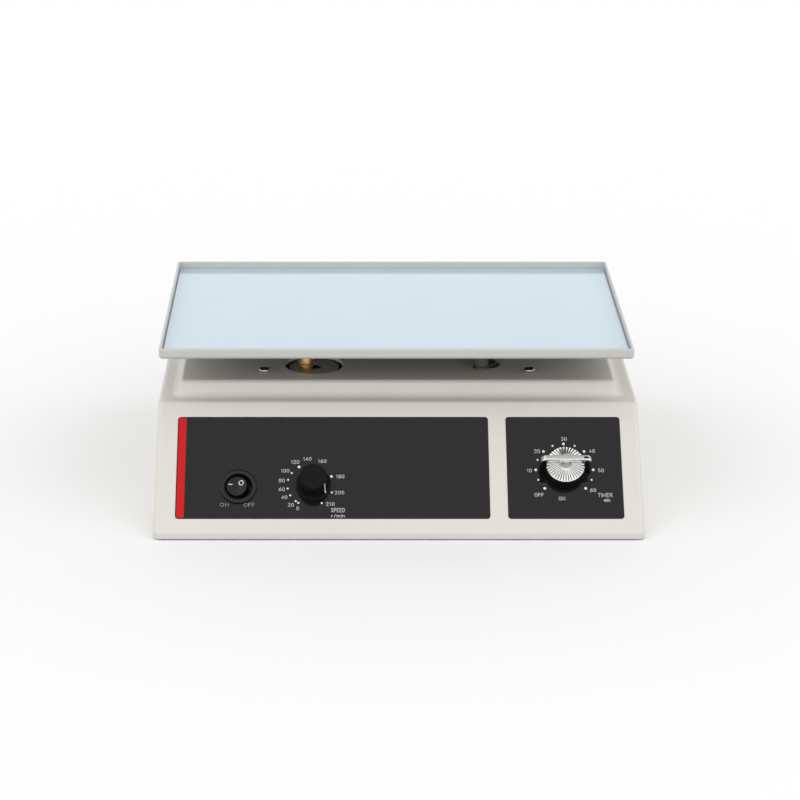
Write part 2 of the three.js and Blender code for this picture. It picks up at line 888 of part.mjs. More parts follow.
function makeNut(flats, bore) {
  return cut(
    hexagon(flats, flangeFoot, flangeFoot + nutThickness),
    rod(bore + seat, flangeFoot - overrun, flangeFoot + nutThickness + overrun),
  );
}

function makePotentiometer() {
  const top = -housingWall - seat;
  const low = top - speedBodyDepth;
  return cut(
    join(rod(speedBodyRadius, low, top), rod(bushRadius, top - overrun, bushHeight)),
    rod(spindleRadius + seat, top - spindleBelow - seat, bushHeight + overrun),
  );
}

const knobFoot = panelTop + knobLift;

function makeSpindle(top) {
  return rod(spindleRadius, -housingWall - seat - spindleBelow, top);
}

// The hollow under a knob, over the nut and round the spindle
function knobBore(recessRadius, recessDepth, spindleTop) {
  return join(
    rod(recessRadius, knobFoot - overrun, knobFoot + recessDepth),
    rod(spindleRadius + seat, knobFoot, spindleTop + seat),
  );
}

const speedSpindleTop = knobFoot + speedKnobHeight - knobRoof - seat;
const timerSpindleTop = knobFoot + timerSkirtHeight - knobRoof - seat;

function makeSpeedKnob() {
  const top = knobFoot + speedKnobHeight;
  const body = turned([
    [0, knobFoot], [speedKnobRadius, knobFoot], [speedKnobRadius, knobFoot + knobEdge],
    [speedKnobTop + knobEdge, knobFoot + speedKnobFoot], [speedKnobTop, top - knobEdge],
    [speedKnobTop - knobEdge, top], [0, top],
  ], fineSides);
  return cut(body, knobBore(nutRecessRadius, nutRecessDepth, speedSpindleTop));
}

function makeTimerBody() {
  const top = -housingWall - seat;
  const body = block(timerBodyWidth, timerBodyHeight, top - timerBodyDepth, top);
  return cut(
    join(body, rod(timerBushRadius, top - overrun, bushHeight)),
    rod(spindleRadius + seat, top - spindleBelow - seat, bushHeight + overrun),
  );
}

const gripUnder = gripTop - gripThickness;
const gripBend = gripLength / 2 - gripDroop;
const gripEndSlope = (gripDroop - gripThickness / 2) / gripDroop;

// The black skirt, with an ear on each side that stands up under an end of the grip
function makeTimerSkirt() {
  const top = knobFoot + timerSkirtHeight;
  const body = turned([
    [0, knobFoot], [timerSkirtRadius, knobFoot], [timerSkirtRadius, knobFoot + knobEdge],
    [timerSkirtTop, top], [0, top],
  ], fineSides);
  const reach = gripLength / 2 - knobEdge;
  const foot = reach + earFlare;
  const inner = gripUnder - seat;
  const outer = inner - (reach - gripBend) * gripEndSlope;
  const ears = slab([
    [-foot, knobFoot], [foot, knobFoot], [foot, knobFoot + earFootHeight], [reach, top],
    [reach, outer], [gripBend, inner], [-gripBend, inner], [-reach, outer],
    [-reach, top], [-foot, knobFoot + earFootHeight],
  ], -earWidth / 2, earWidth / 2).rotateX(Math.PI / 2);
  return cut(
    join(body, cut(ears, rod(timerCapRadius + seat, top, gripTop))),
    knobBore(nutRecessRadius + knobEdge, nutRecessDepth, timerSpindleTop),
  );
}

const capFoot = knobFoot + timerSkirtHeight + seat;
const capTop = capFoot + timerCapRim + timerCapCone;

// The bright cap: a shallow cone with radial flutes and a plain middle
function makeTimerCap() {
  const ring = (radius, depth, height) => ({
    height,
    outline: Array.from({ length: fluteCount * 2 }, (_, i) => {
      const angle = (Math.PI * i) / fluteCount;
      const reach = radius - (i % 2) * depth;
      return [reach * Math.cos(angle), reach * Math.sin(angle)];
    }),
  });
  return stacked([
    ring(timerCapRadius - knobEdge, fluteDepth, capFoot),
    ring(timerCapRadius, fluteDepth, capFoot + timerCapRim / 2),
    ring(timerCapRadius - knobEdge / 2, fluteDepth, capFoot + timerCapRim),
    ring(timerCapFlat, 0, capTop),
  ]);
}

// The grip: a level bar whose ends droop, with a web down to the cap, on a round hub
function makeTimerGrip() {
  const half = gripLength / 2;
  const tip = gripTop - gripDroop;
  const middle = half - gripDroop / 2;
  const middleTop = gripTop - gripDroop / 4;
  const webEdge = capTop - timerCapCone + seat;
  const side = (outline) => slab(outline, -gripWaist / 2, gripWaist / 2).rotateX(Math.PI / 2);
  const bar = side([
    [-half, tip - gripThickness / 2], [-gripBend, gripUnder], [gripBend, gripUnder],
    [half, tip - gripThickness / 2], [half, tip], [middle, middleTop], [gripBend, gripTop],
    [-gripBend, gripTop], [-middle, middleTop], [-half, tip],
  ]);
  const web = side([
    [-timerCapRadius, webEdge], [-timerCapFlat, capTop + seat], [timerCapFlat, capTop + seat],
    [timerCapRadius, webEdge], [timerCapRadius, gripTop - gripThickness / 2],
    [-timerCapRadius, gripTop - gripThickness / 2],
  ]);
  const plan = slab([
    [-half - overrun, -gripWidth / 2], [-gripHub, -gripWaist / 2], [gripHub, -gripWaist / 2],
    [half + overrun, -gripWidth / 2], [half + overrun, gripWidth / 2],
    [gripHub, gripWaist / 2], [-gripHub, gripWaist / 2], [-half - overrun, gripWidth / 2],
  ], capFoot, gripTop + overrun);
  return join(common(join(bar, web), plan), rod(gripHub, capTop + seat, gripTop - gripThickness / 2));
}

// Electrical parts on the base plate and the rear wall
function makeControlBoard() {
  const low = plateTop + postHeight + seat;
  const high = low + boardThickness;
  const left = boardX - boardWidth / 2 + sinkWidth;
  return join(
    block(boardWidth, boardDepth, low, high, boardX, boardY),
    block(sinkWidth, sinkDepth, low, high + sinkHeight, left, boardY),
    rod(capacitorRadius, low, high + capacitorHeight, boardX, boardY + sinkWidth, smallSides),
    rod(capacitorRadius, low, high + capacitorHeight, boardX, boardY - sinkWidth, smallSides),
  );
}

function makeTransformer() {
  const low = plateTop + seat;
  const coilLow = low + (coreHeight - coilHeight) / 2;
  const x = halfWidth - transformerSide;
  const y = backY - transformerRear;
  return join(
    block(coreWidth, coreDepth, low, low + coreHeight, x, y),
    block(coilWidth, coilDepth, coilLow, coilLow + coilHeight, x, y),
  );
}

function makeInlet() {
  const flange = rearBlock(inletFlangeWidth, inletFlangeHeight, seat, rearProud, inletX);
  const body = rearBlock(inletBodyWidth, inletBodyHeight, -inletBodyDepth, rearProud, inletX);
  const socket = rearBlock(
    inletBodyWidth - 2 * inletWall, inletBodyHeight - 2 * inletWall,
    rearProud - inletSocketDepth, rearProud + overrun, inletX,
  );
  const floor = rearProud - inletSocketDepth;
  const pins = [-inletPinPitch, 0, inletPinPitch].map((across) =>
    rearBlock(inletPinWidth, inletPinHeight, floor - overrun, floor + inletPinLength, inletX + across),
  );
  return join(cut(join(flange, body), socket), ...pins);
}

function makeFuseHolder() {
  return cut(
    join(rearRod(fuseRadius, -fuseDepth, rearProud, fuseX), rearRod(fuseFlange, seat, rearProud, fuseX)),
    rearBlock(fuseSlotLength, fuseSlot, rearProud - fuseSlotDepth, rearProud + overrun, fuseX),
  );
}

// Finishes
const paintedShell = finish(0xd8d5ce, 0.38, 0);
const blackPanel = finish(0x1c1b1b, 0.3, 0);
const signalRed = finish(0xde262c, 0.35, 0);
const blackPlastic = finish(0x151515, 0.45, 0);
const brightCap = finish(0xdcdcdc, 0.15, 1);
const greyGrip = finish(0xb4b4ae, 0.35, 0.2);
const greyTray = finish(0xbbbbb9, 0.4, 0.2);
const paleMat = finish(0xd9e8f1, 0.3, 0);
const brass = finish(0xc79a4b, 0.3, 1);
const steel = finish(0xb8b8b8, 0.35, 1);
const rubber = finish(0x202020, 0.85, 0);
const zinc = finish(0xa9adb0, 0.45, 1);
const darkDisc = finish(0x4a4a4a, 0.4, 0.6);
const blackSteel = finish(0x1e1e1e, 0.5, 0.6);
const greySteel = finish(0x6b6b69, 0.45, 0.7);
const greyPlastic = finish(0x5c5c56, 0.45, 0);
const circuitGreen = finish(0x1f5a3a, 0.5, 0);
const coilGrey = finish(0x6f6a62, 0.6, 0.3);

// A group at a place, turned about Z
function station(x, y, z = 0, turn = 0) {
  const group = new THREE.Group();
  group.position.set(x, y, z);
  group.rotation.z = turn;
  return group;
}

// Assembly
const shaker = new THREE.Group();

shaker.add(
  piece("housing", makeHousing(), paintedShell),
  piece("base_plate", makeBasePlate(), zinc),
  piece("mounting_plate", makeMountingPlate(), zinc),
  piece("control_board", makeControlBoard(), circuitGreen),
  piece("transformer", makeTransformer(), coilGrey),
  piece("power_inlet", makeInlet(), blackPlastic),
  piece("fuse_holder", makeFuseHolder(), blackPlastic),
);

for (const [x, y, end] of footPlaces) {
  const place = station(x, y);
  place.add(piece(`foot_${end}`, makeFoot(), rubber));
  shaker.add(place);
}

for (const [x, y, end] of bossPlaces) {
  const place = station(x, y, plateUnderside - seat);
  place.rotation.x = Math.PI;
  place.add(piece(`base_screw_${end}`, panScrew(baseScrew), steel));
  shaker.add(place);
}

for (const [x, y, end] of deckScrewPlaces) {
  const place = station(x, y, deckZ + seat);
  place.add(piece(`deck_screw_${end}`, panScrew(deckScrew), steel));
  shaker.add(place);
}

const drive = station(driveX, driveY, 0, crankTurn);
drive.add(
  piece("motor_bracket", makeBracket(), zinc),
  piece("gear_motor", makeGearMotor(), zinc),
  piece("motor_shaft", makeMotorShaft(), steel),
  piece("rotor_disc", makeRotorDisc(), darkDisc),
  piece("rotor_screw", makeRotorScrew(), blackSteel),
);
const pinStation = station(crankThrow, 0);
pinStation.add(piece("crank_pin", makeCrankPin(), brass));
drive.add(pinStation);
shaker.add(drive);

for (const [x, y, end] of idlerPlaces) {
  const place = station(x, y, 0, crankTurn);
  place.add(
    piece(`idler_bearing_${end}`, makeIdlerBearing(), greySteel),
    piece(`idler_crank_${end}`, makeIdlerCrank(), greySteel),
    piece(`idler_pin_${end}`, makeIdlerPin(), steel),
  );
  shaker.add(place);
}

const trayGroup = station(
  tableX + crankThrow * Math.cos(crankTurn),
  tableY + crankThrow * Math.sin(crankTurn),
);
trayGroup.add(piece("tray", makeTray(), greyTray), piece("tray_mat", makeMat(), paleMat));

const [driveBushPlace, ...sleevePlaces] = bushPlaces;
const driveBush = station(driveBushPlace[0], driveBushPlace[1]);
driveBush.add(piece("drive_bush", makeBush(bushOuter, collarTop + seat, seat), brass));
trayGroup.add(driveBush);

for (const [x, y, end] of sleevePlaces) {
  const place = station(x, y);
  place.add(piece(`idler_sleeve_${end}`, makeBush(sleeveRadius, armTop + runningGap, loopGap), greyPlastic));
  trayGroup.add(place);
}

for (const [x, y, end] of bushPlaces) {
  const place = station(x, y, screwSeat());
  place.add(piece(`tray_screw_${end}`, flatScrew(trayScrew), steel));
  trayGroup.add(place);
}
shaker.add(trayGroup);

const face = new THREE.Group();
face.applyMatrix4(faceMatrix);
face.add(
  piece("control_panel", makeControlPanel(), blackPanel),
  piece("red_stripe", makeStripe(), signalRed),
  piece("timer_panel", makeTimerPanel(), blackPanel),
);

const switchPlace = station(switchX, switchUp);
const rockerPlace = station(0, 0, -rockerPivotDepth);
rockerPlace.rotation.y = -THREE.MathUtils.degToRad(rockerTilt);
rockerPlace.add(piece("switch_rocker", makeRocker(), blackPlastic));
switchPlace.add(piece("switch_body", makeSwitchBody(), blackPlastic), rockerPlace);

const speedPlace = station(speedX, speedUp);
speedPlace.add(
  piece("potentiometer", makePotentiometer(), zinc),
  piece("potentiometer_nut", makeNut(nutFlats, bushRadius), steel),
  piece("potentiometer_spindle", makeSpindle(speedSpindleTop), steel),
  piece("speed_knob", makeSpeedKnob(), blackPlastic),
);

const timerPlace = station(timerX, timerUp);
timerPlace.add(
  piece("timer_body", makeTimerBody(), zinc),
  piece("timer_nut", makeNut(timerNutFlats, timerBushRadius), steel),
  piece("timer_spindle", makeSpindle(timerSpindleTop), steel),
  piece("timer_skirt", makeTimerSkirt(), blackPlastic),
  piece("timer_cap", makeTimerCap(), brightCap),
  piece("timer_grip", makeTimerGrip(), greyGrip),
);
face.add(switchPlace, speedPlace, timerPlace);
shaker.add(face);

export default shaker;
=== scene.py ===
"""Looks of an orbital laboratory shaker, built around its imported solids.

Sizes below are in millimetres, and one function turns them to metres.
"""
import math

import bpy
from mathutils import Matrix, Vector


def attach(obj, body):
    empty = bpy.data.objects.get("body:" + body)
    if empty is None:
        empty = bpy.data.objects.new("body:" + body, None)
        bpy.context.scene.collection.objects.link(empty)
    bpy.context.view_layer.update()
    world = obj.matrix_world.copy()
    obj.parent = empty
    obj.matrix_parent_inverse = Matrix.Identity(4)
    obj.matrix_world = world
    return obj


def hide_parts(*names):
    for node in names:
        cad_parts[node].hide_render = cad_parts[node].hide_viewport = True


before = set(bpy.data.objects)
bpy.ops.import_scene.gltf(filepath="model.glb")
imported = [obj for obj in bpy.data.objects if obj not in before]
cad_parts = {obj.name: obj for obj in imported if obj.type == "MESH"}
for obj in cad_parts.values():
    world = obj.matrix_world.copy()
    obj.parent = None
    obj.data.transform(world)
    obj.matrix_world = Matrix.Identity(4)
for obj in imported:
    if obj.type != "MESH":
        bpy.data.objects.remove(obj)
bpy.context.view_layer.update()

MM = 0.001

# Camera, fitted to the photograph's outlines
CAMERA_PLACE = (-32.42, -1744.9, 666.16)
CAMERA_DOWN = 19.45
CAMERA_LENS = 117.0
CAMERA_SENSOR = 36
CAMERA_SHIFT = 0.0619
CAMERA_REACH = 30

# Housing
FRONT = -140.0
BACK = 138.0
HALF_WIDTH = 164.0
BENCH_GAP = 0.8
FACE_FOOT = 5.4
FACE_RUN = 70.8
FACE_RISE = 67.8
SHOULDER = FACE_FOOT + FACE_RISE
DECK = 84.2
DECK_FRONT = -57.1
DECK_BACK = 130.5
DECK_HALF = 150.55
WALL = 2.5
SHELL_CORNER = 4.0
SKIRT_BEND = 2.0
SHOULDER_BEND = 3.0
DECK_BEND = 3.2
DECK_FOOT_BEND = 5.5
FACE_ANGLE = math.atan2(FACE_RISE, FACE_RUN)

# Openings in the shell, and the tools that cut them: radii, boxes, and how far a tool reaches
SWITCH_HOLE = 10.3
OVERLAY_HOLE = 9.7
SPEED_HOLE = 4.6
TIMER_HOLE = 4.8
ROTOR_HOLE = 20.4
IDLER_HOLE = 8.3
INLET_HOLE = (-14, 14, -10.2, 10.2)
FUSE_HOLE = 6.4
RECESS_GAP = 0.2
RECESS_DEPTH = 0.8
CUT_DEEP = 8
CUT_HIGH = 3

# Crank stations and tray
DRIVE = (-57.8, -21.5)
IDLERS = {"front_right": (63.8, -21.5), "rear_left": (-57.8, 76.1), "rear_right": (63.8, 76.1)}
DECK_SCREWS = {
    "front_left": (-92.2, -36.9), "front_right": (91.7, -36.9),
    "rear_left": (-92.2, 91.5), "rear_right": (91.7, 91.5),
}
SCREW_HEAD = 4.0
SCREW_HIGH = 3.1
SCREW_SEAT = 0.3
THROW = 10.0
CRANK_TURN = math.radians(236)
PIN_OFFSET = (THROW * math.cos(CRANK_TURN), THROW * math.sin(CRANK_TURN))
TABLE = (4.15 + PIN_OFFSET[0], 25.8 + PIN_OFFSET[1])
TRAY_HALF = (160.0, 104.4)
TRAY_UNDER = 109.4
TRAY_SHEET = 1.5
TRAY_RIM = 7.5
TRAY_BEND = 2.5
TRAY_CORNER = 2.6
RIM_ROLL = 1.15
RIM_EDGE = 0.25
PAN_BEND = 1.0
MAT_HALF = (158.0, 102.4)
MAT_UNDER = 111.2
MAT_THICK = 1.0
MAT_CORNER = 1.1
MAT_EDGE = 0.4
ROTOR_TOP = DECK - 1.5

# Control face, in its own frame: X right, Y up the slope, Z out of it
PANEL = (-149.7, 61.05, 10.4, 86.2)
TIMER_PANEL = (73.25, 150.65, 10.4, 86.2)
PANEL_CORNER = 2.0
PANEL_LOW = -0.5
PANEL_TOP = 0.3
STRIPE = (-149.05, -143.95, 11.05, 85.55)
INK_HIGH = PANEL_TOP + 0.04
SWITCH = (-107.7, 33.65)
SPEED = (-57.4, 34.85)
SPEED_DIAL = (-59.4, 35.15)
SPEED_DIAL_RADIUS = 15.46
TIMER = (111.95, 46.35)
TIMER_DIAL_RADIUS = 19.42
KNOB_FOOT = 0.9

# Rear fittings, as X and height on the rear wall
INLET = (-112.0, 38.0)
FUSE = (-66.0, 38.0)
REAR_FACE = 140.0


# Helpers for meshes
def metres(point):
    return tuple(value * MM for value in point)


def linear(hex_colour):
    """An sRGB hex colour as linear RGBA."""
    parts = [int(hex_colour[i:i + 2], 16) / 255 for i in (1, 3, 5)]
    turned = [v / 12.92 if v <= 0.04045 else ((v + 0.055) / 1.055) ** 2.4 for v in parts]
    return (*turned, 1.0)


def mesh_piece(name, points, faces, sharp=35):
    """A mesh object from points in millimetres, smooth except at edges sharper than the angle."""
    mesh = bpy.data.meshes.new(name)
    mesh.from_pydata([metres(p) for p in points], [], faces)
    mesh.validate()
    piece = bpy.data.objects.new(name, mesh)
    bpy.context.scene.collection.objects.link(piece)
    soften(piece, sharp)
    return piece


def soften(piece, sharp=35):
    """Smooth shading, with the edges that are sharper than the angle kept sharp."""
    piece.data.shade_smooth()
    piece.data.set_sharp_from_angle(angle=math.radians(sharp))


def rounded(left, right, front, back, radius, steps=8):
    """A rectangle with rounded corners, counter-clockwise."""
    corners = [
        (right - radius, front + radius), (right - radius, back - radius),
        (left + radius, back - radius), (left + radius, front + radius),
    ]
    outline = []
    for corner, (x, y) in enumerate(corners):
        for step in range(steps + 1):
            angle = math.pi / 2 * (corner - 1 + step / steps)
            outline.append((x + radius * math.cos(angle), y + radius * math.sin(angle)))
    return outline


def loft(name, rings, sharp=35):
    """A closed solid through rings of as many points each, lowest first."""
    count = len(rings[0])
    points = [p for ring in rings for p in ring]
    faces = [tuple(reversed(range(count)))]
    for level in range(len(rings) - 1):
        for i in range(count):
            a, b = level * count + i, level * count + (i + 1) % count
            faces.append((a, b, b + count, a + count))
    faces.append(tuple(range((len(rings) - 1) * count, len(rings) * count)))
    return mesh_piece(name, points, faces, sharp)


def flat_loft(name, outlines, sharp=35):
    """A loft through (height, outline) pairs."""
    return loft(name, [[(x, y, height) for x, y in outline] for height, outline in outlines], sharp)


def lathe(name, profile, sides=64, place=(0, 0), sharp=35):
    """A profile of (radius, height) points, from the foot on the axis to the top on the axis."""
    angles = [2 * math.pi * i / sides for i in range(sides)]
    rings = []
    for radius, height in profile:
        # On the axis a tiny radius keeps the faces from losing their area
        radius = max(radius, 0.001)
        rings.append([(place[0] + radius * math.cos(angle), place[1] + radius * math.sin(angle), height)
                      for angle in angles])
    return loft(name, rings, sharp)


def cylinder(name, radius, low, high, sides=48, place=(0, 0)):
    """A plain cylinder, as a shape or as a tool that cuts."""
    return lathe(name, [(0, low), (radius, low), (radius, high), (0, high)], sides, place)


def raised(profile, base):
    """A profile moved up by a height."""
    return [(radius, base + height) for radius, height in profile]


def arc(centre, radius, start, end, steps=6):
    """Points on an arc, for profiles, with angles in degrees."""
    return [
        (centre[0] + radius * math.cos(math.radians(start + (end - start) * i / steps)),
         centre[1] + radius * math.sin(math.radians(start + (end - start) * i / steps)))
        for i in range(steps + 1)
    ]


def slab(name, box, low, high, corner, edge=0.15, steps=8):
    """A plate with rounded corners and softened edges above."""
    left, right, front, back = box
    outlines = [(low, rounded(left, right, front, back, corner, steps))]
    for inset, height in [(0, high - edge), (0.3 * edge, high - 0.3 * edge), (edge, high)]:
        outlines.append((height, rounded(left + inset, right - inset, front + inset, back - inset,
                                         corner - inset, steps)))
    return flat_loft(name, outlines)


def bake(piece, sharp=35):
    """Turns a piece's modifiers into its mesh."""
    depsgraph = bpy.context.evaluated_depsgraph_get()
    baked = bpy.data.meshes.new_from_object(piece.evaluated_get(depsgraph))
    piece.modifiers.clear()
    piece.data = baked
    soften(piece, sharp)
    return piece


def combine(piece, tools, operation="DIFFERENCE", sharp=35):
    """Cuts the tools from a piece, or joins them to it, and removes them."""
    for tool in tools:
        step = piece.modifiers.new("combine", "BOOLEAN")
        step.operation = operation
        step.solver = "EXACT"
        step.object = tool
    bake(piece, sharp)
    for tool in tools:
        bpy.data.objects.remove(tool)
    return piece


def bevel(piece, width, segments=3, angle=40):
    """Rounds a piece's edges that are sharper than the angle."""
    step = piece.modifiers.new("edges", "BEVEL")
    step.width = width * MM
    step.segments = segments
    step.limit_method = "ANGLE"
    step.angle_limit = math.radians(angle)
    step.harden_normals = True
    return piece


FACE = Matrix.Translation(metres((0, FRONT, FACE_FOOT))) @ Matrix.Rotation(FACE_ANGLE, 4, "X")
REAR = Matrix.Translation(metres((0, REAR_FACE, 0))) @ Matrix.Rotation(math.radians(-90), 4, "X")


def put(piece, matrix):
    """Moves a piece's mesh, and leaves the object at the origin."""
    piece.data.transform(matrix)
    return piece


def on_face(piece, place=(0, 0)):
    """Sets a piece that was made about a control's axis on the sloped face."""
    return put(piece, FACE @ Matrix.Translation(metres((*place, 0))))


def on_rear(piece, place):
    """Sets a piece that was made with Z out of the rear wall on a place of that wall."""
    return put(piece, REAR @ Matrix.Translation(metres((place[0], -place[1], 0))))


def dress(piece, body, finish, slot, *nodes):
    """Gives a piece its body and material, hides the solids it stands for, and keeps its flats flat. The
    slot is not used.
    """
    flats = piece.modifiers.new("flats", "WEIGHTED_NORMAL")
    flats.keep_sharp = True
    piece.data.materials.clear()
    piece.data.materials.append(finish)
    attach(piece, body)
    if nodes:
        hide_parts(*nodes)
    return piece


def second_finish(piece, finish, faces):
    """Gives some faces of a dressed piece another material."""
    piece.data.materials.append(finish)
    for index in faces:
        piece.data.polygons[index].material_index = 1


def joined(name, pieces):
    """One piece from several."""
    points, faces = [], []
    for piece in pieces:
        start = len(points)
        points += [tuple(v.co / MM) for v in piece.data.vertices]
        faces += [tuple(start + i for i in polygon.vertices) for polygon in piece.data.polygons]
        bpy.data.objects.remove(piece)
    return mesh_piece(name, points, faces)


# Helpers for materials
def add(tree, kind, settings=None, inputs=None):
    """Adds a node. An input is a value, or a pair of another node and its output's name."""
    made = tree.nodes.new("ShaderNode" + kind)
    for name, value in (settings or {}).items():
        setattr(made, name, value)
    for name, value in (inputs or {}).items():
        if isinstance(value, tuple) and isinstance(value[0], bpy.types.Node):
            tree.links.new(value[0].outputs[value[1]], made.inputs[name])
        else:
            made.inputs[name].default_value = value
    return made


def per(millimetres):
    """The scale of a pattern whose features are that far apart."""
    return 1 / (millimetres * MM)


def material(name, colour, roughness, metallic=0.0, **sockets):
    """A material with its shader. More of the shader's sockets are given by name, with _ for a space."""
    made = bpy.data.materials.new(name)
    made.use_nodes = True
    tree = made.node_tree
    shader = tree.nodes["Principled BSDF"]
    shader.inputs["Base Color"].default_value = linear(colour)
    shader.inputs["Roughness"].default_value = roughness
    shader.inputs["Metallic"].default_value = metallic
    for socket, value in sockets.items():
        shader.inputs[socket.replace("_", " ")].default_value = value
    place = add(tree, "TexCoord")
    return made, tree, shader, place


def mottle(tree, place, shader, first, second, size, detail=3.0):
    """Lets the colour drift between two close shades over spots of a real size."""
    noise = add(tree, "TexNoise", inputs={
        "Vector": (place, "Object"), "Scale": per(size), "Detail": detail, "Roughness": 0.55})
    ramp = add(tree, "ValToRGB", inputs={"Fac": (noise, "Fac")})
    ramp.color_ramp.elements[0].position = 0.3
    ramp.color_ramp.elements[0].color = linear(first)
    ramp.color_ramp.elements[1].position = 0.7
    ramp.color_ramp.elements[1].color = linear(second)
    tree.links.new(ramp.outputs["Color"], shader.inputs["Base Color"])


def vary_roughness(tree, place, shader, low, high, size):
    """Lets the roughness drift between two values over spots of a real size."""
    noise = add(tree, "TexNoise", inputs={"Vector": (place, "Object"), "Scale": per(size), "Detail": 2.0})
    spread = add(tree, "MapRange", inputs={
        "Value": (noise, "Fac"), "From Min": 0.3, "From Max": 0.7, "To Min": low, "To Max": high})
    tree.links.new(spread.outputs["Result"], shader.inputs["Roughness"])


def grain(tree, place, shader, size, height, stretch=(1, 1, 1), detail=2.0):
    """Fine relief of a real size and height in millimetres."""
    scaled = add(tree, "Mapping", inputs={"Vector": (place, "Object"), "Scale": stretch})
    noise = add(tree, "TexNoise", inputs={
        "Vector": (scaled, "Vector"), "Scale": per(size), "Detail": detail})
    bump = add(tree, "Bump", inputs={"Height": (noise, "Fac"), "Strength": 1.0, "Distance": height * MM})
    tree.links.new(bump.outputs["Normal"], shader.inputs["Normal"])


def powder_coat():
    """Powder-coated sheet steel, warm off-white: satin, with the faint ripple of orange peel."""
    made, tree, shader, place = material("powder_coated_steel", "#D8D5CD", 0.42, Specular_IOR_Level=0.45)
    mottle(tree, place, shader, "#D7D5CC", "#DAD7D0", 55)
    vary_roughness(tree, place, shader, 0.38, 0.46, 12)
    grain(tree, place, shader, 0.9, 0.004)
    return made


def polycarbonate():
    """A printed polycarbonate overlay, near black: glossy enough to mirror the knobs faintly."""
    made, tree, shader, place = material("polycarbonate_overlay", "#101010", 0.07, IOR=1.58)
    mottle(tree, place, shader, "#0F0F0F", "#111111", 60)
    vary_roughness(tree, place, shader, 0.06, 0.09, 20)
    grain(tree, place, shader, 6.0, 0.0006)
    return made


def screen_ink(name, colour, second):
    """Screen-printed ink, opaque and half matt: slightly uneven where the mesh laid it down."""
    made, tree, shader, place = material(name, colour, 0.4, Specular_IOR_Level=0.3)
    mottle(tree, place, shader, colour, second, 4)
    grain(tree, place, shader, 0.8, 0.0005)
    return made


def moulded(name, colour, second, roughness, gloss=0.32):
    """Moulded plastic: a fine spark-eroded grain that dulls the highlights, more so with less gloss."""
    made, tree, shader, place = material(name, colour, roughness, Specular_IOR_Level=gloss)
    mottle(tree, place, shader, colour, second, 6)
    vary_roughness(tree, place, shader, roughness - 0.04, roughness + 0.05, 3)
    grain(tree, place, shader, 0.35, 0.006)
    return made


def chrome_plate(name, colour):
    """Chrome plated on moulded plastic: a mirror with slight waves. Its greyer copy is painted shade down
    in the flutes.
    """
    made, tree, shader, place = material(name, colour, 0.16, 1.0)
    vary_roughness(tree, place, shader, 0.13, 0.19, 2)
    grain(tree, place, shader, 2.5, 0.01)
    return made


def satin_plate():
    """Satin nickel-plated plastic for the grip: soft bright reflections."""
    made, tree, shader, place = material("satin_plated_abs", "#D6D7D5", 0.3, 1.0)
    vary_roughness(tree, place, shader, 0.26, 0.36, 2)
    grain(tree, place, shader, 0.6, 0.002)
    return made


def tray_enamel():
    """Sheet-metal tray in light grey enamel: smooth and half gloss."""
    made, tree, shader, place = material("grey_enamelled_sheet", "#C1C4BF", 0.3, Specular_IOR_Level=0.6)
    mottle(tree, place, shader, "#C0C3BE", "#C1C4BF", 40)
    vary_roughness(tree, place, shader, 0.29, 0.31, 30)
    grain(tree, place, shader, 1.4, 0.002)
    return made


def silicone_mat():
    """A pale blue silicone mat: smooth and glossy, so that it mirrors the rim at a low angle."""
    made, tree, shader, place = material("pale_silicone_sheet", "#B2C6D3", 0.14, IOR=1.41)
    mottle(tree, place, shader, "#B1C5D2", "#B3C7D4", 70)
    vary_roughness(tree, place, shader, 0.12, 0.17, 30)
    grain(tree, place, shader, 3.0, 0.001)
    return made


def turned_metal(name, colour, second, roughness, line, height, colour_size=3):
    """Metal turned on a lathe: fine rings round the axis that streak the highlight."""
    made, tree, shader, place = material(name, colour, roughness, 1.0)
    mottle(tree, place, shader, colour, second, colour_size)
    vary_roughness(tree, place, shader, roughness - 0.05, roughness + 0.08, 1.5)
    grain(tree, place, shader, line, height, (0.06, 0.06, 1))
    return made


def plated_steel(name, colour, second, roughness):
    """Plated, oxided or phosphated steel: a soft cloud of crystals in one metal tone."""
    made, tree, shader, place = material(name, colour, roughness, 1.0)
    mottle(tree, place, shader, colour, second, 5)
    vary_roughness(tree, place, shader, roughness - 0.06, roughness + 0.1, 4)
    grain(tree, place, shader, 0.8, 0.003)
    return made


def dull(name, colour, second, roughness, size, height):
    """Finishes without gloss or metal: dull paint, rubber, board and winding, and the near-black tray
    underside that is painted shade.
    """
    made, tree, shader, place = material(name, colour, roughness)
    mottle(tree, place, shader, colour, second, size * 4)
    grain(tree, place, shader, size, height)
    return made


COAT = powder_coat()
OVERLAY = polycarbonate()
WHITE_INK = screen_ink("white_screen_ink", "#F2F2F0", "#ECECEA")
PALE_INK = screen_ink("pale_screen_ink", "#EDEDEB", "#E6E6E4")
GREY_INK = screen_ink("grey_screen_ink", "#ABABA9", "#A5A5A3")
RED_INK = screen_ink("red_screen_ink", "#CA0C12", "#C60A10")
KNOB_BLACK = moulded("moulded_abs_knob", "#060606", "#080808", 0.4, 0.1)
KNOB_TOP = moulded("moulded_abs_knob_top", "#060606", "#080808", 0.28, 0.22)
SWITCH_BLACK = moulded("moulded_nylon_switch", "#181818", "#1B1B1B", 0.36)
SLEEVE_GREY = moulded("moulded_acetal_sleeve", "#5A5B55", "#555650", 0.4)
INLET_BLACK = moulded("moulded_polyamide_inlet", "#161616", "#1B1B1B", 0.45)
CHROME = chrome_plate("chrome_plated_abs", "#EDEDEB")
# A greyer chrome that is painted shade in the hollows of the flutes
CHROME_FLUTE_SHADE = chrome_plate("chrome_painted_flute_shade", "#A8A8A6")
SATIN = satin_plate()
ENAMEL = tray_enamel()
SILICONE = silicone_mat()
BRASS = turned_metal("turned_brass", "#EEC587", "#E2B572", 0.26, 0.25, 0.004)
STEEL = turned_metal("turned_steel", "#B9BABB", "#ABACAE", 0.3, 0.25, 0.003)
DISC = dull("grey_painted_rotor", "#A9A7A2", "#A3A19C", 0.5, 1.0, 0.004)
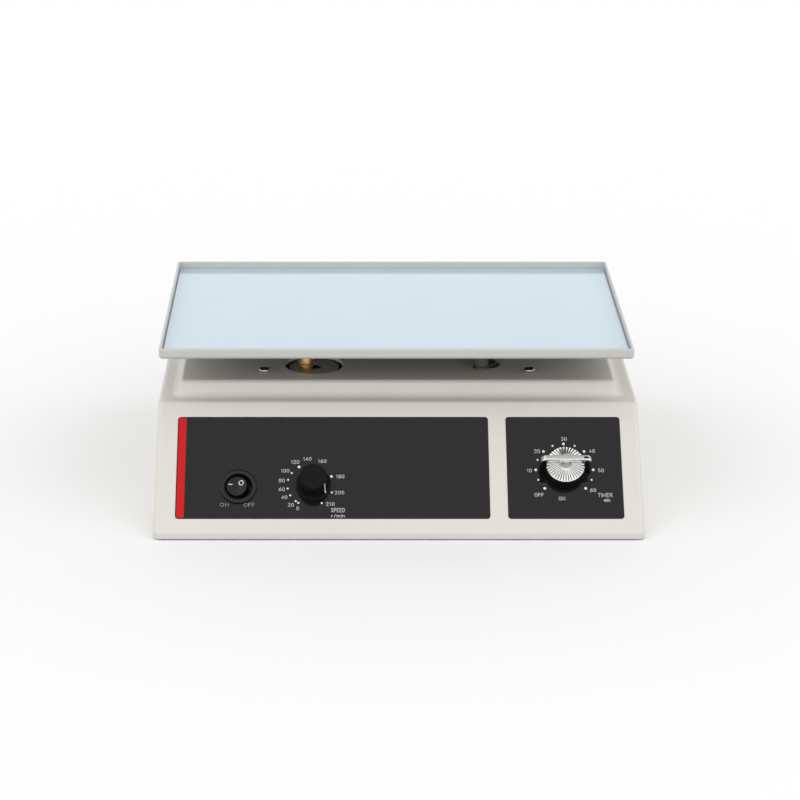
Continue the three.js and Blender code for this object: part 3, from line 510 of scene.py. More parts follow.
ZINC = plated_steel("zinc_plated_steel", "#A9ADB0", "#B7BBBD", 0.4)
NICKEL = plated_steel("nickel_plated_screw", "#C4C4C2", "#B4B4B2", 0.22)
GREY_STEEL = plated_steel("phosphated_steel", "#6B6B69", "#62625F", 0.45)
OXIDE = plated_steel("black_oxide_steel", "#242424", "#2C2C2C", 0.42)
# The tray's underside, near black as painted shade, so that the deck under the tray lies dark
UNDERSIDE_SHADE = dull("underside_painted_shade", "#171716", "#1B1B1A", 0.7, 1.5, 0.01)
RUBBER = dull("moulded_rubber", "#1D1D1D", "#232323", 0.8, 0.8, 0.02)
BOARD = dull("solder_resist_green", "#1F5A3A", "#24603F", 0.4, 1.5, 0.01)
CORE = dull("varnished_winding", "#6F6A62", "#5C5750", 0.55, 0.5, 0.05)


# Housing
def front_at(height):
    """How far forward the shell's front lies at a height, with its two bends."""
    reach = SKIRT_BEND * math.tan((math.pi / 2 - FACE_ANGLE) / 2)
    low, high = FACE_FOOT - reach, FACE_FOOT + reach * math.sin(FACE_ANGLE)
    if height <= low:
        return FRONT
    if height < high:
        return FRONT + SKIRT_BEND - math.sqrt(SKIRT_BEND ** 2 - (height - low) ** 2)
    reach = SHOULDER_BEND * math.tan(FACE_ANGLE / 2)
    if height <= SHOULDER - reach * math.sin(FACE_ANGLE):
        return FRONT + (height - FACE_FOOT) * FACE_RUN / FACE_RISE
    rise = height - SHOULDER + SHOULDER_BEND
    return FRONT + FACE_RUN + reach - math.sqrt(max(0.0, SHOULDER_BEND ** 2 - rise ** 2))


def edge_steps(top, radius, steps=6):
    """(inset, height) pairs up a rounded edge."""
    angles = [math.pi / 2 * i / steps for i in range(steps + 1)]
    return [(radius * (1 - math.cos(angle)), top - radius + radius * math.sin(angle)) for angle in angles]


def make_housing():
    """One shell with a sloped face and a raised deck, hollow from below, with its openings cut."""
    def body_ring(height, inset=0.0):
        return height, rounded(inset - HALF_WIDTH, HALF_WIDTH - inset, front_at(height), BACK - inset,
                               SHELL_CORNER - inset)

    def deck_ring(height, inset=0.0):
        return height, rounded(inset - DECK_HALF, DECK_HALF - inset, DECK_FRONT + inset,
                               DECK_BACK - inset, SHELL_CORNER - inset)

    # Rings close together where the skirt bends into the face
    skirt = [body_ring(FACE_FOOT + rise) for rise in (-0.86, -0.6, -0.35, -0.1, 0.15, 0.4, 0.6)]
    body = flat_loft("housing_shell", [
        body_ring(BENCH_GAP + 0.3), *skirt,
        *[body_ring(height, inset) for inset, height in edge_steps(SHOULDER, SHOULDER_BEND, 8)],
    ])
    deck_foot = [
        deck_ring(SHOULDER + DECK_FOOT_BEND * (1 - math.cos(angle)), DECK_FOOT_BEND * (math.sin(angle) - 1))
        for angle in (math.radians(degrees) for degrees in range(0, 91, 15))
    ]
    deck = flat_loft("deck_tool", [
        deck_ring(SHOULDER - WALL, -DECK_FOOT_BEND),
        *deck_foot,
        *[deck_ring(height, inset) for inset, height in edge_steps(DECK, DECK_BEND)],
    ])
    combine(body, [deck], "UNION")

    # The room under the face and the room under the deck
    inner_front = FRONT + WALL / math.sin(FACE_ANGLE) + (SHOULDER - WALL - FACE_FOOT) * FACE_RUN / FACE_RISE
    half, back = HALF_WIDTH - WALL, BACK - WALL
    room_foot = rounded(-half, half, FRONT + WALL, back, SHELL_CORNER - WALL)
    room = flat_loft("room_tool", [
        (-2.0, room_foot), (FACE_FOOT - 1.1, room_foot),
        (SHOULDER - WALL, rounded(-half, half, inner_front, back, SHELL_CORNER - WALL)),
    ])
    under_deck = rounded(WALL - DECK_HALF, DECK_HALF - WALL, DECK_FRONT + WALL, DECK_BACK - WALL,
                         SHELL_CORNER - WALL)
    roof = flat_loft("roof_tool", [(SHOULDER - WALL - 2.0, under_deck), (DECK - WALL, under_deck)])
    tools = [room, roof]
    for left, right, low, high in (PANEL, TIMER_PANEL):
        recess = rounded(left - RECESS_GAP, right + RECESS_GAP, low - RECESS_GAP, high + RECESS_GAP,
                         PANEL_CORNER + RECESS_GAP)
        tools.append(on_face(flat_loft("recess_tool", [(-RECESS_DEPTH, recess), (CUT_HIGH, recess)])))
    for place, radius in ((SWITCH, SWITCH_HOLE), (SPEED, SPEED_HOLE), (TIMER, TIMER_HOLE)):
        tools.append(on_face(cylinder("hole_tool", radius, -CUT_DEEP, CUT_HIGH), place))
    for place, radius in ((DRIVE, ROTOR_HOLE), *[(place, IDLER_HOLE) for place in IDLERS.values()]):
        tools.append(lathe("hole_tool", raised([
            (0, -6), (radius, -6), (radius, -0.5), (radius + 0.15, -0.15), (radius + 0.5, 0),
            (radius + 0.5, 4), (0, 4),
        ], DECK), 72, place))
    tools.append(on_rear(slab("inlet_hole_tool", INLET_HOLE, -CUT_DEEP, CUT_HIGH, 2.0, 0.1), INLET))
    tools.append(on_rear(cylinder("fuse_hole_tool", FUSE_HOLE, -CUT_DEEP, CUT_HIGH), FUSE))
    return combine(body, tools)


dress(make_housing(), "base", COAT, "painted_shell", "housing")


# Tray and mat
def make_tray():
    """A pan with a bent foot, a rolled rim and a rounded inner corner."""
    def ring(inset, height):
        corner = max(TRAY_CORNER - inset, TRAY_CORNER - TRAY_SHEET)
        return TRAY_UNDER + height, rounded(
            TABLE[0] - TRAY_HALF[0] + inset, TABLE[0] + TRAY_HALF[0] - inset,
            TABLE[1] - TRAY_HALF[1] + inset, TABLE[1] + TRAY_HALF[1] - inset, corner)

    profile = [
        *arc((TRAY_BEND, TRAY_BEND), TRAY_BEND, 270, 180),
        *arc((RIM_ROLL, TRAY_RIM - RIM_ROLL), RIM_ROLL, 180, 90),
        *arc((TRAY_SHEET - RIM_EDGE, TRAY_RIM - RIM_EDGE), RIM_EDGE, 90, 0, 3),
        *arc((TRAY_SHEET + PAN_BEND, TRAY_SHEET + PAN_BEND), PAN_BEND, 180, 270),
    ]
    return flat_loft("tray_pan", [ring(inset, height) for inset, height in profile])


def make_mat():
    """A flat mat with its upper edge rounded."""
    def ring(inset, height):
        return MAT_UNDER + height, rounded(
            TABLE[0] - MAT_HALF[0] + inset, TABLE[0] + MAT_HALF[0] - inset,
            TABLE[1] - MAT_HALF[1] + inset, TABLE[1] + MAT_HALF[1] - inset, MAT_CORNER)

    edge = [ring(*pair) for pair in edge_steps(MAT_THICK, MAT_EDGE, 4)]
    return flat_loft("tray_liner", [ring(0, 0), *edge])


# The faces that look down are painted near black: painted shade that deepens the deck's shadow under the
# tray
FACING_DOWN = -0.9
tray_pan = dress(make_tray(), "tray", ENAMEL, "tray_grey", "tray")
underside = [polygon.index for polygon in tray_pan.data.polygons if polygon.normal.z < FACING_DOWN]
second_finish(tray_pan, UNDERSIDE_SHADE, underside)
dress(make_mat(), "tray", SILICONE, "pale_mat", "tray_mat")


# Cranks under the tray
def make_cross_screw(name, place, head_radius, head_height, foot):
    """A pan-head screw with a cross recess, its head standing on the foot height."""
    dome = [(head_radius * math.cos(a), head_height * (0.35 + 0.65 * math.sin(a)))
            for a in (math.radians(d) for d in range(0, 91, 10))]
    shank = head_radius / 2
    profile = [(0, -6), (shank, -6), (shank, 0), (head_radius - 0.2, 0), (head_radius, 0.2)]
    screw = lathe(name, [*profile, *[(max(r, 0), h) for r, h in dome]], 40)
    arm, width, depth = head_radius * 0.56, head_radius * 0.13, head_height * 0.62
    tools = []
    for turn in (20, 110):
        floor = rounded(-arm * 0.45, arm * 0.45, -width * 0.6, width * 0.6, width * 0.3, 2)
        mouth = rounded(-arm, arm, -width, width, width * 0.5, 2)
        tool = flat_loft("cross_tool", [(head_height - depth, floor), (head_height + 1, mouth)])
        tools.append(put(tool, Matrix.Rotation(math.radians(turn), 4, "Z")))
    combine(screw, tools)
    return put(screw, Matrix.Translation(metres((*place, foot))))


for end, place in DECK_SCREWS.items():
    screw = make_cross_screw("deck_fixing_" + end, place, SCREW_HEAD, SCREW_HIGH, DECK + SCREW_SEAT)
    dress(screw, "base", NICKEL, "screw_steel", "deck_screw_" + end)

pin = (DRIVE[0] + PIN_OFFSET[0], DRIVE[1] + PIN_OFFSET[1])
dress(lathe("rotor_plate", raised([
    (0, -11.5), (6.6, -11.5), (7.0, -11.1), (7.0, -5.0), (16.8, -5.0), (17.25, -4.6),
    *arc((16.75, -0.5), 0.5, 0, 90, 4), (6.1, 0.0), *arc((5.9, -0.2), 0.2, 90, 180, 2), (5.7, -3.0),
    (0, -3.0),
], ROTOR_TOP), 96, DRIVE), "rotor", DISC, "rotor_grey", "rotor_disc")

hub_screw = lathe("rotor_cap_screw", raised([
    (0, -9.7), (2.0, -9.7), (2.0, -2.7), (4.8, -2.7), *arc((4.4, -0.8), 0.4, 0, 90, 4), (0, -0.4),
], ROTOR_TOP), 48, DRIVE)
socket = cylinder("socket_tool", 2.65, ROTOR_TOP - 1.9, ROTOR_TOP + 1.5, 6, DRIVE)
dress(combine(hub_screw, [socket]), "rotor", OXIDE, "black_steel", "rotor_screw")

dress(lathe("crank_stud", raised([
    (0, -5.0), (2.5, -5.0), (2.5, 0.3), (4.5, 0.3), (4.8, 0.6), (4.8, 2.7), (4.65, 2.85), (4.65, 3.05),
    (4.8, 3.2), (4.8, 5.2), (4.6, 5.4), (3.0, 5.4), (3.0, 21.0), (2.6, 21.4), (0, 21.4),
], ROTOR_TOP), 64, pin), "rotor", BRASS, "brass", "crank_pin")

# The bush and the sleeves hang under the tray, so their heights are taken from its underside
bush_foot = ROTOR_TOP + 5.7 - TRAY_UNDER
dress(lathe("tray_bush", raised([
    (0, -4.1), (3.3, -4.1), (3.3, bush_foot), (4.9, bush_foot),
    *arc((4.9, bush_foot + 0.3), 0.3, 270, 360, 3), (5.2, bush_foot + 4.8), (5.05, bush_foot + 5.0),
    (5.05, bush_foot + 5.3), (5.2, bush_foot + 5.5), (5.2, -0.8), (4.8, -0.3), (0, -0.3),
], TRAY_UNDER), 64, pin), "tray", BRASS, "brass", "drive_bush")

sleeve_foot = DECK + 2.4 - TRAY_UNDER
for end, (x, y) in IDLERS.items():
    place = (x + PIN_OFFSET[0], y + PIN_OFFSET[1])
    dress(lathe("follower_sleeve_" + end, raised([
        (0, -4.1), (3.6, -4.1), (3.6, sleeve_foot), (5.0, sleeve_foot),
        *arc((5.1, sleeve_foot + 0.4), 0.4, 270, 360, 3), (5.5, -6.4), (5.35, -6.2), (5.35, -5.8),
        (5.5, -5.6), (5.5, -0.7), (5.1, -0.3), (0, -0.3),
    ], TRAY_UNDER), 48, place), "tray", SLEEVE_GREY, "grey_plastic", "idler_sleeve_" + end)


# Control face
speed_overlay = slab("speed_overlay", PANEL, PANEL_LOW, PANEL_TOP, PANEL_CORNER)
combine(speed_overlay, [cylinder("switch_hole", OVERLAY_HOLE, -CUT_HIGH, CUT_HIGH, 64, SWITCH)])
dress(on_face(speed_overlay), "base", OVERLAY, "black_panel", "control_panel")
timer_overlay = slab("timer_overlay", TIMER_PANEL, PANEL_LOW, PANEL_TOP, PANEL_CORNER)
dress(on_face(timer_overlay), "base", OVERLAY, "black_panel", "timer_panel")
stripe = slab("printed_stripe", STRIPE, PANEL_TOP - 0.1, INK_HIGH, 1.0, 0.02)
dress(on_face(stripe), "base", RED_INK, "signal_red", "red_stripe")


def loop_line(x, y, across, up, steps=16):
    """A closed line round an ellipse, as shares of the cap height."""
    angles = [2 * math.pi * i / steps for i in range(steps + 1)]
    return [(x + across * math.sin(angle), y + up * math.cos(angle)) for angle in angles]


# Letters as pen lines, in shares of the cap height: the width, then the lines as (X, Y) points
GLYPHS = {
    "0": (0.8, [loop_line(0.4, 0.5, 0.37, 0.5)]),
    "1": (0.5, [[(0.1, 0.8), (0.32, 1), (0.32, 0)]]),
    "2": (0.78, [[(0.05, 0.76), (0.14, 0.94), (0.38, 1), (0.64, 0.94), (0.72, 0.76), (0.62, 0.56),
                  (0.03, 0), (0.76, 0)]]),
    "3": (0.78, [[(0.07, 1), (0.7, 1), (0.34, 0.62), (0.6, 0.57), (0.74, 0.34), (0.64, 0.08), (0.36, 0),
                  (0.03, 0.14)]]),
    "4": (0.8, [[(0.58, 0), (0.58, 1), (0.02, 0.28), (0.78, 0.28)]]),
    "5": (0.78, [[(0.68, 1), (0.14, 1), (0.09, 0.56), (0.4, 0.63), (0.68, 0.53), (0.75, 0.3),
                  (0.65, 0.08), (0.36, 0), (0.05, 0.12)]]),
    "6": (0.8, [[(0.64, 1), (0.3, 0.8), (0.08, 0.48)], loop_line(0.4, 0.3, 0.36, 0.3)]),
    "8": (0.8, [loop_line(0.4, 0.77, 0.28, 0.23), loop_line(0.4, 0.27, 0.37, 0.27)]),
    "D": (0.8, [[(0.05, 0), (0.05, 1), (0.42, 1), (0.72, 0.78), (0.75, 0.5), (0.72, 0.22), (0.42, 0),
                 (0.05, 0)]]),
    "E": (0.7, [[(0.68, 1), (0.05, 1), (0.05, 0), (0.68, 0)], [(0.05, 0.52), (0.6, 0.52)]]),
    "F": (0.68, [[(0.66, 1), (0.05, 1), (0.05, 0)], [(0.05, 0.5), (0.58, 0.5)]]),
    "I": (0.1, [[(0.05, 0), (0.05, 1)]]),
    "M": (0.95, [[(0.05, 0), (0.05, 1), (0.47, 0.3), (0.9, 1), (0.9, 0)]]),
    "N": (0.8, [[(0.05, 0), (0.05, 1), (0.75, 0), (0.75, 1)]]),
    "O": (0.95, [loop_line(0.47, 0.5, 0.45, 0.5)]),
    "P": (0.74, [[(0.05, 0), (0.05, 1), (0.5, 1), (0.7, 0.88), (0.7, 0.6), (0.5, 0.48), (0.05, 0.48)]]),
    "R": (0.76, [[(0.05, 0), (0.05, 1), (0.5, 1), (0.7, 0.88), (0.7, 0.6), (0.5, 0.48), (0.05, 0.48)],
                 [(0.4, 0.48), (0.74, 0)]]),
    "S": (0.74, [[(0.68, 0.86), (0.38, 1), (0.1, 0.9), (0.08, 0.68), (0.36, 0.53), (0.64, 0.4),
                  (0.7, 0.18), (0.4, 0), (0.04, 0.14)]]),
    "T": (0.76, [[(0, 1), (0.76, 1)], [(0.38, 1), (0.38, 0)]]),
    "/": (0.44, [[(0, -0.06), (0.44, 1.04)]]),
    "i": (0.1, [[(0.05, 0), (0.05, 0.68)], [(0.05, 0.88), (0.05, 1)]]),
    "m": (0.95, [[(0.05, 0), (0.05, 0.68)],
                 [(0.05, 0.48), (0.22, 0.67), (0.42, 0.6), (0.47, 0.42), (0.47, 0)],
                 [(0.47, 0.45), (0.64, 0.67), (0.84, 0.6), (0.9, 0.42), (0.9, 0)]]),
    "n": (0.6, [[(0.05, 0), (0.05, 0.68)],
                [(0.05, 0.46), (0.24, 0.67), (0.46, 0.6), (0.54, 0.42), (0.54, 0)]]),
    "r": (0.5, [[(0.05, 0), (0.05, 0.68)], [(0.05, 0.44), (0.22, 0.64), (0.46, 0.66)]]),
}
LETTER_GAP = 0.3
LETTER_WIDTH = 0.86
PEN = 0.25
MITRE_LIMIT = 0.6
# Neighbouring letters lie at two levels, so that their ribbons never share a plane
LETTER_STEP = 0.002


def pen_line(line, pen, height):
    """A flat ribbon of the pen's width along a line of (X, Y) points."""
    closed = line[0] == line[-1]
    points = []
    for i, here in enumerate(line):
        before = line[i - 1] if i else (line[-2] if closed else here)
        after = line[i + 1] if i + 1 < len(line) else (line[1] if closed else here)
        first, second = Vector(here) - Vector(before), Vector(after) - Vector(here)
        first = first.normalized() if first.length else second.normalized()
        second = second.normalized() if second.length else first
        way = (first + second).normalized()
        across = Vector((-way.y, way.x)) * pen / 2 / max(MITRE_LIMIT, way.dot(first))
        end = Vector((0, 0))
        if not closed and i in (0, len(line) - 1):
            end = way * pen / 2 * (1 if i else -1)
        for side in (1, -1):
            points.append((here[0] + side * across.x + end.x, here[1] + side * across.y + end.y, height))
    faces = [(2 * i, 2 * i + 1, 2 * i + 3, 2 * i + 2) for i in range(len(line) - 1)]
    return mesh_piece("pen_line", points, faces)


def words(text, place, height, width=None, pen=PEN):
    """Printed words of a cap height, centred on a place of the face, and stretched to a width if given."""
    total = sum(GLYPHS[letter][0] for letter in text) + LETTER_GAP * (len(text) - 1)
    scale = (height - pen) * LETTER_WIDTH if width is None else (width - pen) / total
    pieces, start = [], place[0] - scale * total / 2
    for count, letter in enumerate(text):
        for line in GLYPHS[letter][1]:
            line = [(start + scale * x, place[1] + (y - 0.5) * (height - pen)) for x, y in line]
            pieces.append(pen_line(line, pen, INK_HIGH + LETTER_STEP * (count % 2)))
        start += scale * (GLYPHS[letter][0] + LETTER_GAP)
    return joined("words", pieces)


# The two scales: the speed dial's dots by their bearing in degrees, and where each number stands
DOT_LOW, DOT_HIGH = PANEL_TOP - 0.05, PANEL_TOP + 0.05
DOT_SIDES = 20
SMALL_DOT, LARGE_DOT = 0.68, 0.95
DIGIT_HEIGHT = 2.65
SPEED_DOTS = {0: 239, 20: 231, 40: 210, 60: 190, 80: 166, 100: 145, 120: 120, 180: 24, 200: -21, 210: -60}
SPEED_LARGE = (120, 180)
SPEED_WORDS = {
    "0": (-67.8, 17.85), "20": (-72.4, 20.45), "40": (-76.8, 26.05), "60": (-78.6, 31.95),
    "80": (-78.7, 38.45), "100": (-76.5, 45.65), "120": (-69.8, 52.25), "140": (-61.6, 54.55),
    "160": (-51.5, 52.85), "180": (-39.4, 41.45), "200": (-39.8, 29.45), "210": (-46.0, 21.05),
}
TIMER_DOTS = 13
TIMER_START, TIMER_STEP = 225, 22.5
TIMER_WORDS = {
    "OFF": (94.2, 27.85), "ON": (109.5, 25.05), "10": (88.2, 45.85), "20": (93.9, 60.35),
    "30": (112.3, 69.55), "40": (131.0, 60.45), "50": (136.5, 45.95), "60": (130.6, 31.25),
}


def dot(centre, radius, degrees, large):
    """A printed dot on a dial, at a bearing round the dial's centre."""
    angle = math.radians(degrees)
    place = (centre[0] + radius * math.cos(angle), centre[1] + radius * math.sin(angle))
    return cylinder("dot", LARGE_DOT if large else SMALL_DOT, DOT_LOW, DOT_HIGH, DOT_SIDES, place)


speed_print = [words(text, place, DIGIT_HEIGHT) for text, place in SPEED_WORDS.items()]
speed_print += [words("SPEED", (-40.8, 16.55), 3.0, 9.4), words("r/min", (-40.8, 12.4), 2.35, 9.3)]
speed_dots = [dot(SPEED_DIAL, SPEED_DIAL_RADIUS, angle, value in SPEED_LARGE)
              for value, angle in SPEED_DOTS.items()]
dress(on_face(joined("speed_words", speed_print)), "base", PALE_INK, "black_panel")
dress(on_face(joined("speed_dots", speed_dots)), "base", WHITE_INK, "black_panel")

timer_print = [words(text, place, DIGIT_HEIGHT) for text, place in TIMER_WORDS.items()]
timer_print += [words("TIMER", (138.6, 27.65), 2.9, 9.8), words("min", (139.7, 23.9), 2.4, 4.3)]
timer_dots = [dot(TIMER, TIMER_DIAL_RADIUS, TIMER_START - TIMER_STEP * step, step % 2 == 0)
              for step in range(TIMER_DOTS)]
dress(on_face(joined("timer_words", timer_print)), "base", PALE_INK, "black_panel")
dress(on_face(joined("timer_dots", timer_dots)), "base", WHITE_INK, "black_panel")

switch_print = [words("ON", (-117.0, 20.55), 2.7, 6.0), words("OFF", (-100.3, 20.45), 2.7, 7.5)]
dress(on_face(joined("switch_words", switch_print)), "base", GREY_INK, "black_panel")


# Round rocker switch
switch_bezel = lathe("switch_bezel", [
    (0, -17), (9.6, -17), (10, -16.6), (10, 0.6), (12.2, 0.6), (12.4, 0.8), (12.4, 1.2),
    *arc((10.9, 1.25), 1.5, 15, 110, 8), (9.7, 2.4), (9.3, 2.0), (9.1, 1.3), (9.05, -7.3), (8.8, -7.5),
    (0, -7.5),
], 96)
dress(on_face(switch_bezel, SWITCH), "base", SWITCH_BLACK, "black_plastic", "switch_body")

ROCKER_PIVOT = -1.5
ROCKER_TILT = math.radians(9)
ROCKER_HALF = 7.45
ROCKER_DIP = 3.2
ROCKER_RISE = 1.3
ROCKER_SIDES = 72
ROCKER_FOOT = (6.95, -3.0, 0.5)
# The rings above the foot: radius, height over the finger face, shift of the middle to the left
ROCKER_RINGS = [
    (6.95, -2.4, 0.5), (6.9, -0.4, 0.6), (6.85, -0.12, 0.62), (6.7, 0.0, 0.65), (5.8, 0.0, 0.6),
    (4.6, 0.0, 0.45), (3.4, 0.0, 0.3), (2.2, 0.0, 0.2), (1.0, 0.0, 0.1), (0.01, 0.0, 0.0),
]
MARK_LIFT = 0.04


def rocker_height(x):
    """The rocker's finger face dips in the middle and rises to both ends."""
    return ROCKER_DIP + ROCKER_RISE * abs(x / ROCKER_HALF) ** 1.7


def make_rocker():
    """A round button with a flat foot and a dipped finger face."""
    def ring(radius, shift):
        angles = [2 * math.pi * i / ROCKER_SIDES for i in range(ROCKER_SIDES)]
        return [(radius * math.cos(angle) - shift, radius * math.sin(angle)) for angle in angles]

    radius, foot, shift = ROCKER_FOOT
    rings = [[(x, y, foot) for x, y in ring(radius, shift)]]
    for radius, rise, shift in ROCKER_RINGS:
        rings.append([(x, y, rocker_height(x) + rise) for x, y in ring(radius, shift)])
    return loft("switch_button", rings)


def on_rocker(piece):
    """Sets a piece on the switch, tilted as the rocker stands at rest."""
    tilt = Matrix.Translation(metres((0, 0, ROCKER_PIVOT))) @ Matrix.Rotation(-ROCKER_TILT, 4, "Y")
    return on_face(put(piece, tilt), SWITCH)


def rocker_mark(outline_pairs):
    """A thin ribbon over the rocker's curved face, between an outer and an inner outline."""
    points, faces = [], []
    count = len(outline_pairs)
    for outer, inner in outline_pairs:
        for x, y in (outer, inner):
            points.append((x, y, rocker_height(x) + MARK_LIFT))
    for i in range(count):
        a, b = 2 * i, 2 * ((i + 1) % count)
        faces.append((a, b, b + 1, a + 1))
    return mesh_piece("mark", points, faces)


def oval(centre, across, up, steps=28):
    """Points round an ellipse."""
    angles = [2 * math.pi * i / steps for i in range(steps)]
    return [(centre[0] + across * math.cos(angle), centre[1] + up * math.sin(angle)) for angle in angles]


OFF_MARK = (2.35, 2.15)
ring_mark = rocker_mark(list(zip(oval(OFF_MARK, 1.75, 1.85), oval(OFF_MARK, 1.25, 1.35))))
bar_mark = mesh_piece("mark", [
    (x, y, rocker_height(x) + MARK_LIFT) for x in (-6.3, -5.6, -4.9, -4.2, -3.5) for y in (1.05, 1.6)
], [(2 * i, 2 * i + 2, 2 * i + 3, 2 * i + 1) for i in range(4)])
dress(on_rocker(make_rocker()), "rocker", SWITCH_BLACK, "black_plastic", "switch_rocker")
switch_marks = joined("switch_marks", [ring_mark, bar_mark])
dress(on_rocker(switch_marks), "rocker", PALE_INK, "black_plastic")


# Speed knob
KNOB_SIDES = 96
speed_knob = lathe("speed_dial_knob", [
    (0, KNOB_FOOT), (11.8, KNOB_FOOT), (12.0, 1.1), (12.0, 1.3), (11.3, 1.9), (10.6, 2.5), (10.0, 3.3),
    (9.65, 4.4), (9.5, 5.5), (9.25, 13.6), *arc((8.65, 13.9), 0.6, 0, 90, 4), (0, 14.5),
], KNOB_SIDES)
dress(on_face(speed_knob, SPEED), "speed_control", KNOB_BLACK, "black_plastic", "speed_knob")
# The last ring of faces and the one that closes it are the knob's flat top
face_count = len(speed_knob.data.polygons)
second_finish(speed_knob, KNOB_TOP, range(face_count - KNOB_SIDES - 1, face_count))

# The pointer runs down the knob's side: radius, height and bearing in degrees
POINTER_HALF = 0.45
pointer_path = [
    (9.2, 14.15, -33), (9.29, 13.5, -33), (9.54, 5.5, -33.5), (9.69, 4.4, -34), (10.04, 3.3, -36),
    (10.64, 2.5, -38.5),
]
pointer_points = []
for radius, height, bearing in pointer_path:
    for side in (-POINTER_HALF, POINTER_HALF):
        angle = math.radians(bearing) + side / radius
        pointer_points.append((radius * math.cos(angle), radius * math.sin(angle), height))
pointer_faces = [(2 * i, 2 * i + 2, 2 * i + 3, 2 * i + 1) for i in range(len(pointer_path) - 1)]
pointer = mesh_piece("speed_pointer_line", pointer_points, pointer_faces)
dress(on_face(pointer, SPEED), "speed_control", WHITE_INK, "black_plastic")


# Timer knob
SKIRT_TOP = 8.3
FLUTES = 38
FLUTE_STEPS = 4
FLUTE_LEAN = 0.3
FLUTED = (4.7, 12.5)
CAP_FOOT = 8.6
CAP_TOP = CAP_FOOT + 3.2
GRIP_HALF = 16.9
GRIP_BEND = 13.7
GRIP_END = 16.5
GRIP_TOP = 20.0
GRIP_DROP = 3.2
GRIP_THICK = 2.6
GRIP_TAPER = 1.1
GRIP_WIDTH = 1.85
GRIP_SIDES = 24
GRIP_STATIONS = [0, 2, 4, 5, 8, 11, 13.7, 14.6, 15.4, 16.1, 16.6, 16.9]
HUB_TOP = GRIP_TOP - 1.5


def side_plate(name, outline, half, soft=0.25):
    """A plate across the control's axis, from an outline of (X, height) points."""
    count = len(outline)
    points = [(x, -half, z) for x, z in outline] + [(x, half, z) for x, z in outline]
    faces = [tuple(range(count)), tuple(reversed(range(count, 2 * count)))]
    faces += [((i + 1) % count, i, i + count, (i + 1) % count + count) for i in range(count)]
    return bake(bevel(mesh_piece(name, points, faces), soft))


def make_timer_skirt():
    """The black skirt with an ear at each side, which leaves room for the cap."""
    body = lathe("timer_knob_skirt", [
        (0, KNOB_FOOT), (13.9, KNOB_FOOT), *arc((13.9, 1.2), 0.3, 270, 360, 2), (14.2, 1.8), (13.7, 7.7),
        *arc((12.8, 7.7), 0.6, 0, 90, 4), (0, SKIRT_TOP),
    ], 96)
    ears = side_plate("ears", [
        (-17.4, 0.95), (17.4, 0.95), (17.45, 3.4), (16.9, 5.0), (16.0, 8.2), (16.0, 15.6), (13.7, 17.05),
        (-13.7, 17.05), (-16.0, 15.6), (-16.0, 8.2), (-16.9, 5.0), (-17.45, 3.4),
    ], 1.65)
    room = cylinder("room_tool", 13.3, SKIRT_TOP, 22.0, 96)
    return combine(body, [combine(ears, [room])], "UNION")


def make_cap():
    """A bright shallow cone with sharp radial flutes and a plain middle."""
    # Radius, height above the cap's foot, and the flutes' depth there
    profile = [
        (12.3, 0, 0.2), (12.9, 0.4, 0.3), (13.0, 0.75, 0.35), (12.62, 1.2, 0.55), (11.0, 1.62, 0.85),
        (9.0, 2.15, 0.7), (7.0, 2.68, 0.52), (5.4, 3.05, 0.3), (4.7, 3.15, 0.0), (0.01, 3.15, 0.0),
    ]
    rings = []
    for radius, height, depth in profile:
        ring = []
        for i in range(FLUTES * FLUTE_STEPS):
            down = depth * (1 - abs((i % FLUTE_STEPS) / 2 - 1))
            angle = 2 * math.pi * i / (FLUTES * FLUTE_STEPS)
            out = radius - down * FLUTE_LEAN
            ring.append((out * math.cos(angle), out * math.sin(angle), CAP_FOOT + height - down))
        rings.append(ring)
    return loft("timer_knob_cap", rings, 18)


def in_a_flute(polygon):
    """Whether one of the cap's faces lies in the lower half of a flute."""
    x, y = polygon.center.xy / MM
    share = math.atan2(y, x) / (2 * math.pi) * FLUTES % 1
    return FLUTED[0] < math.hypot(x, y) < FLUTED[1] and 0.25 < share < 0.75


def make_grip():
    """A slim bar across the cap with drooping ends, standing on a round hub."""
    rings = []
    for x in [*[-station for station in reversed(GRIP_STATIONS[1:])], *GRIP_STATIONS]:
        past = max(0.0, abs(x) - GRIP_BEND) / (GRIP_HALF - GRIP_BEND)
        top = GRIP_TOP - GRIP_DROP * past ** 1.9
        thick = GRIP_THICK - GRIP_TAPER * past
        width = GRIP_WIDTH + 0.5 * max(0.0, 1 - abs(x) / 9) ** 0.7
        if abs(x) > GRIP_END:
            width, thick = width * 0.75, thick * 0.8
        ring = []
        for i in range(GRIP_SIDES):
            angle = 2 * math.pi * i / GRIP_SIDES
            across, up = math.cos(angle), math.sin(angle)
            # A superellipse: the section of a flat bar with well-rounded edges
            squareness = (abs(across) ** 5 + abs(up) ** 5) ** 0.2
            ring.append((x, width * across / squareness, top - thick / 2 + thick / 2 * up / squareness))
        rings.append(ring)
    bar = loft("timer_knob_grip", rings, 40)
    foot = CAP_TOP + 0.02
    hub = lathe("hub", [
        (0, foot), (4.35, foot), (4.2, CAP_TOP + 0.8), (3.7, CAP_TOP + 2.0), (3.4, HUB_TOP), (0, HUB_TOP),
    ], 64)
    ribs = [lathe("rib", [(0, foot), (0.85, foot), (0.7, HUB_TOP), (0, HUB_TOP)], 24, (x, -2.6))
            for x in (-3.6, 3.6)]
    combine(bar, [hub, *ribs], "UNION")
    slot = slab("slot_tool", (11.7, 15.1, -0.75, 0.75), 18.6, 21.0, 0.4, 0.05, 4)
    return combine(bar, [slot])


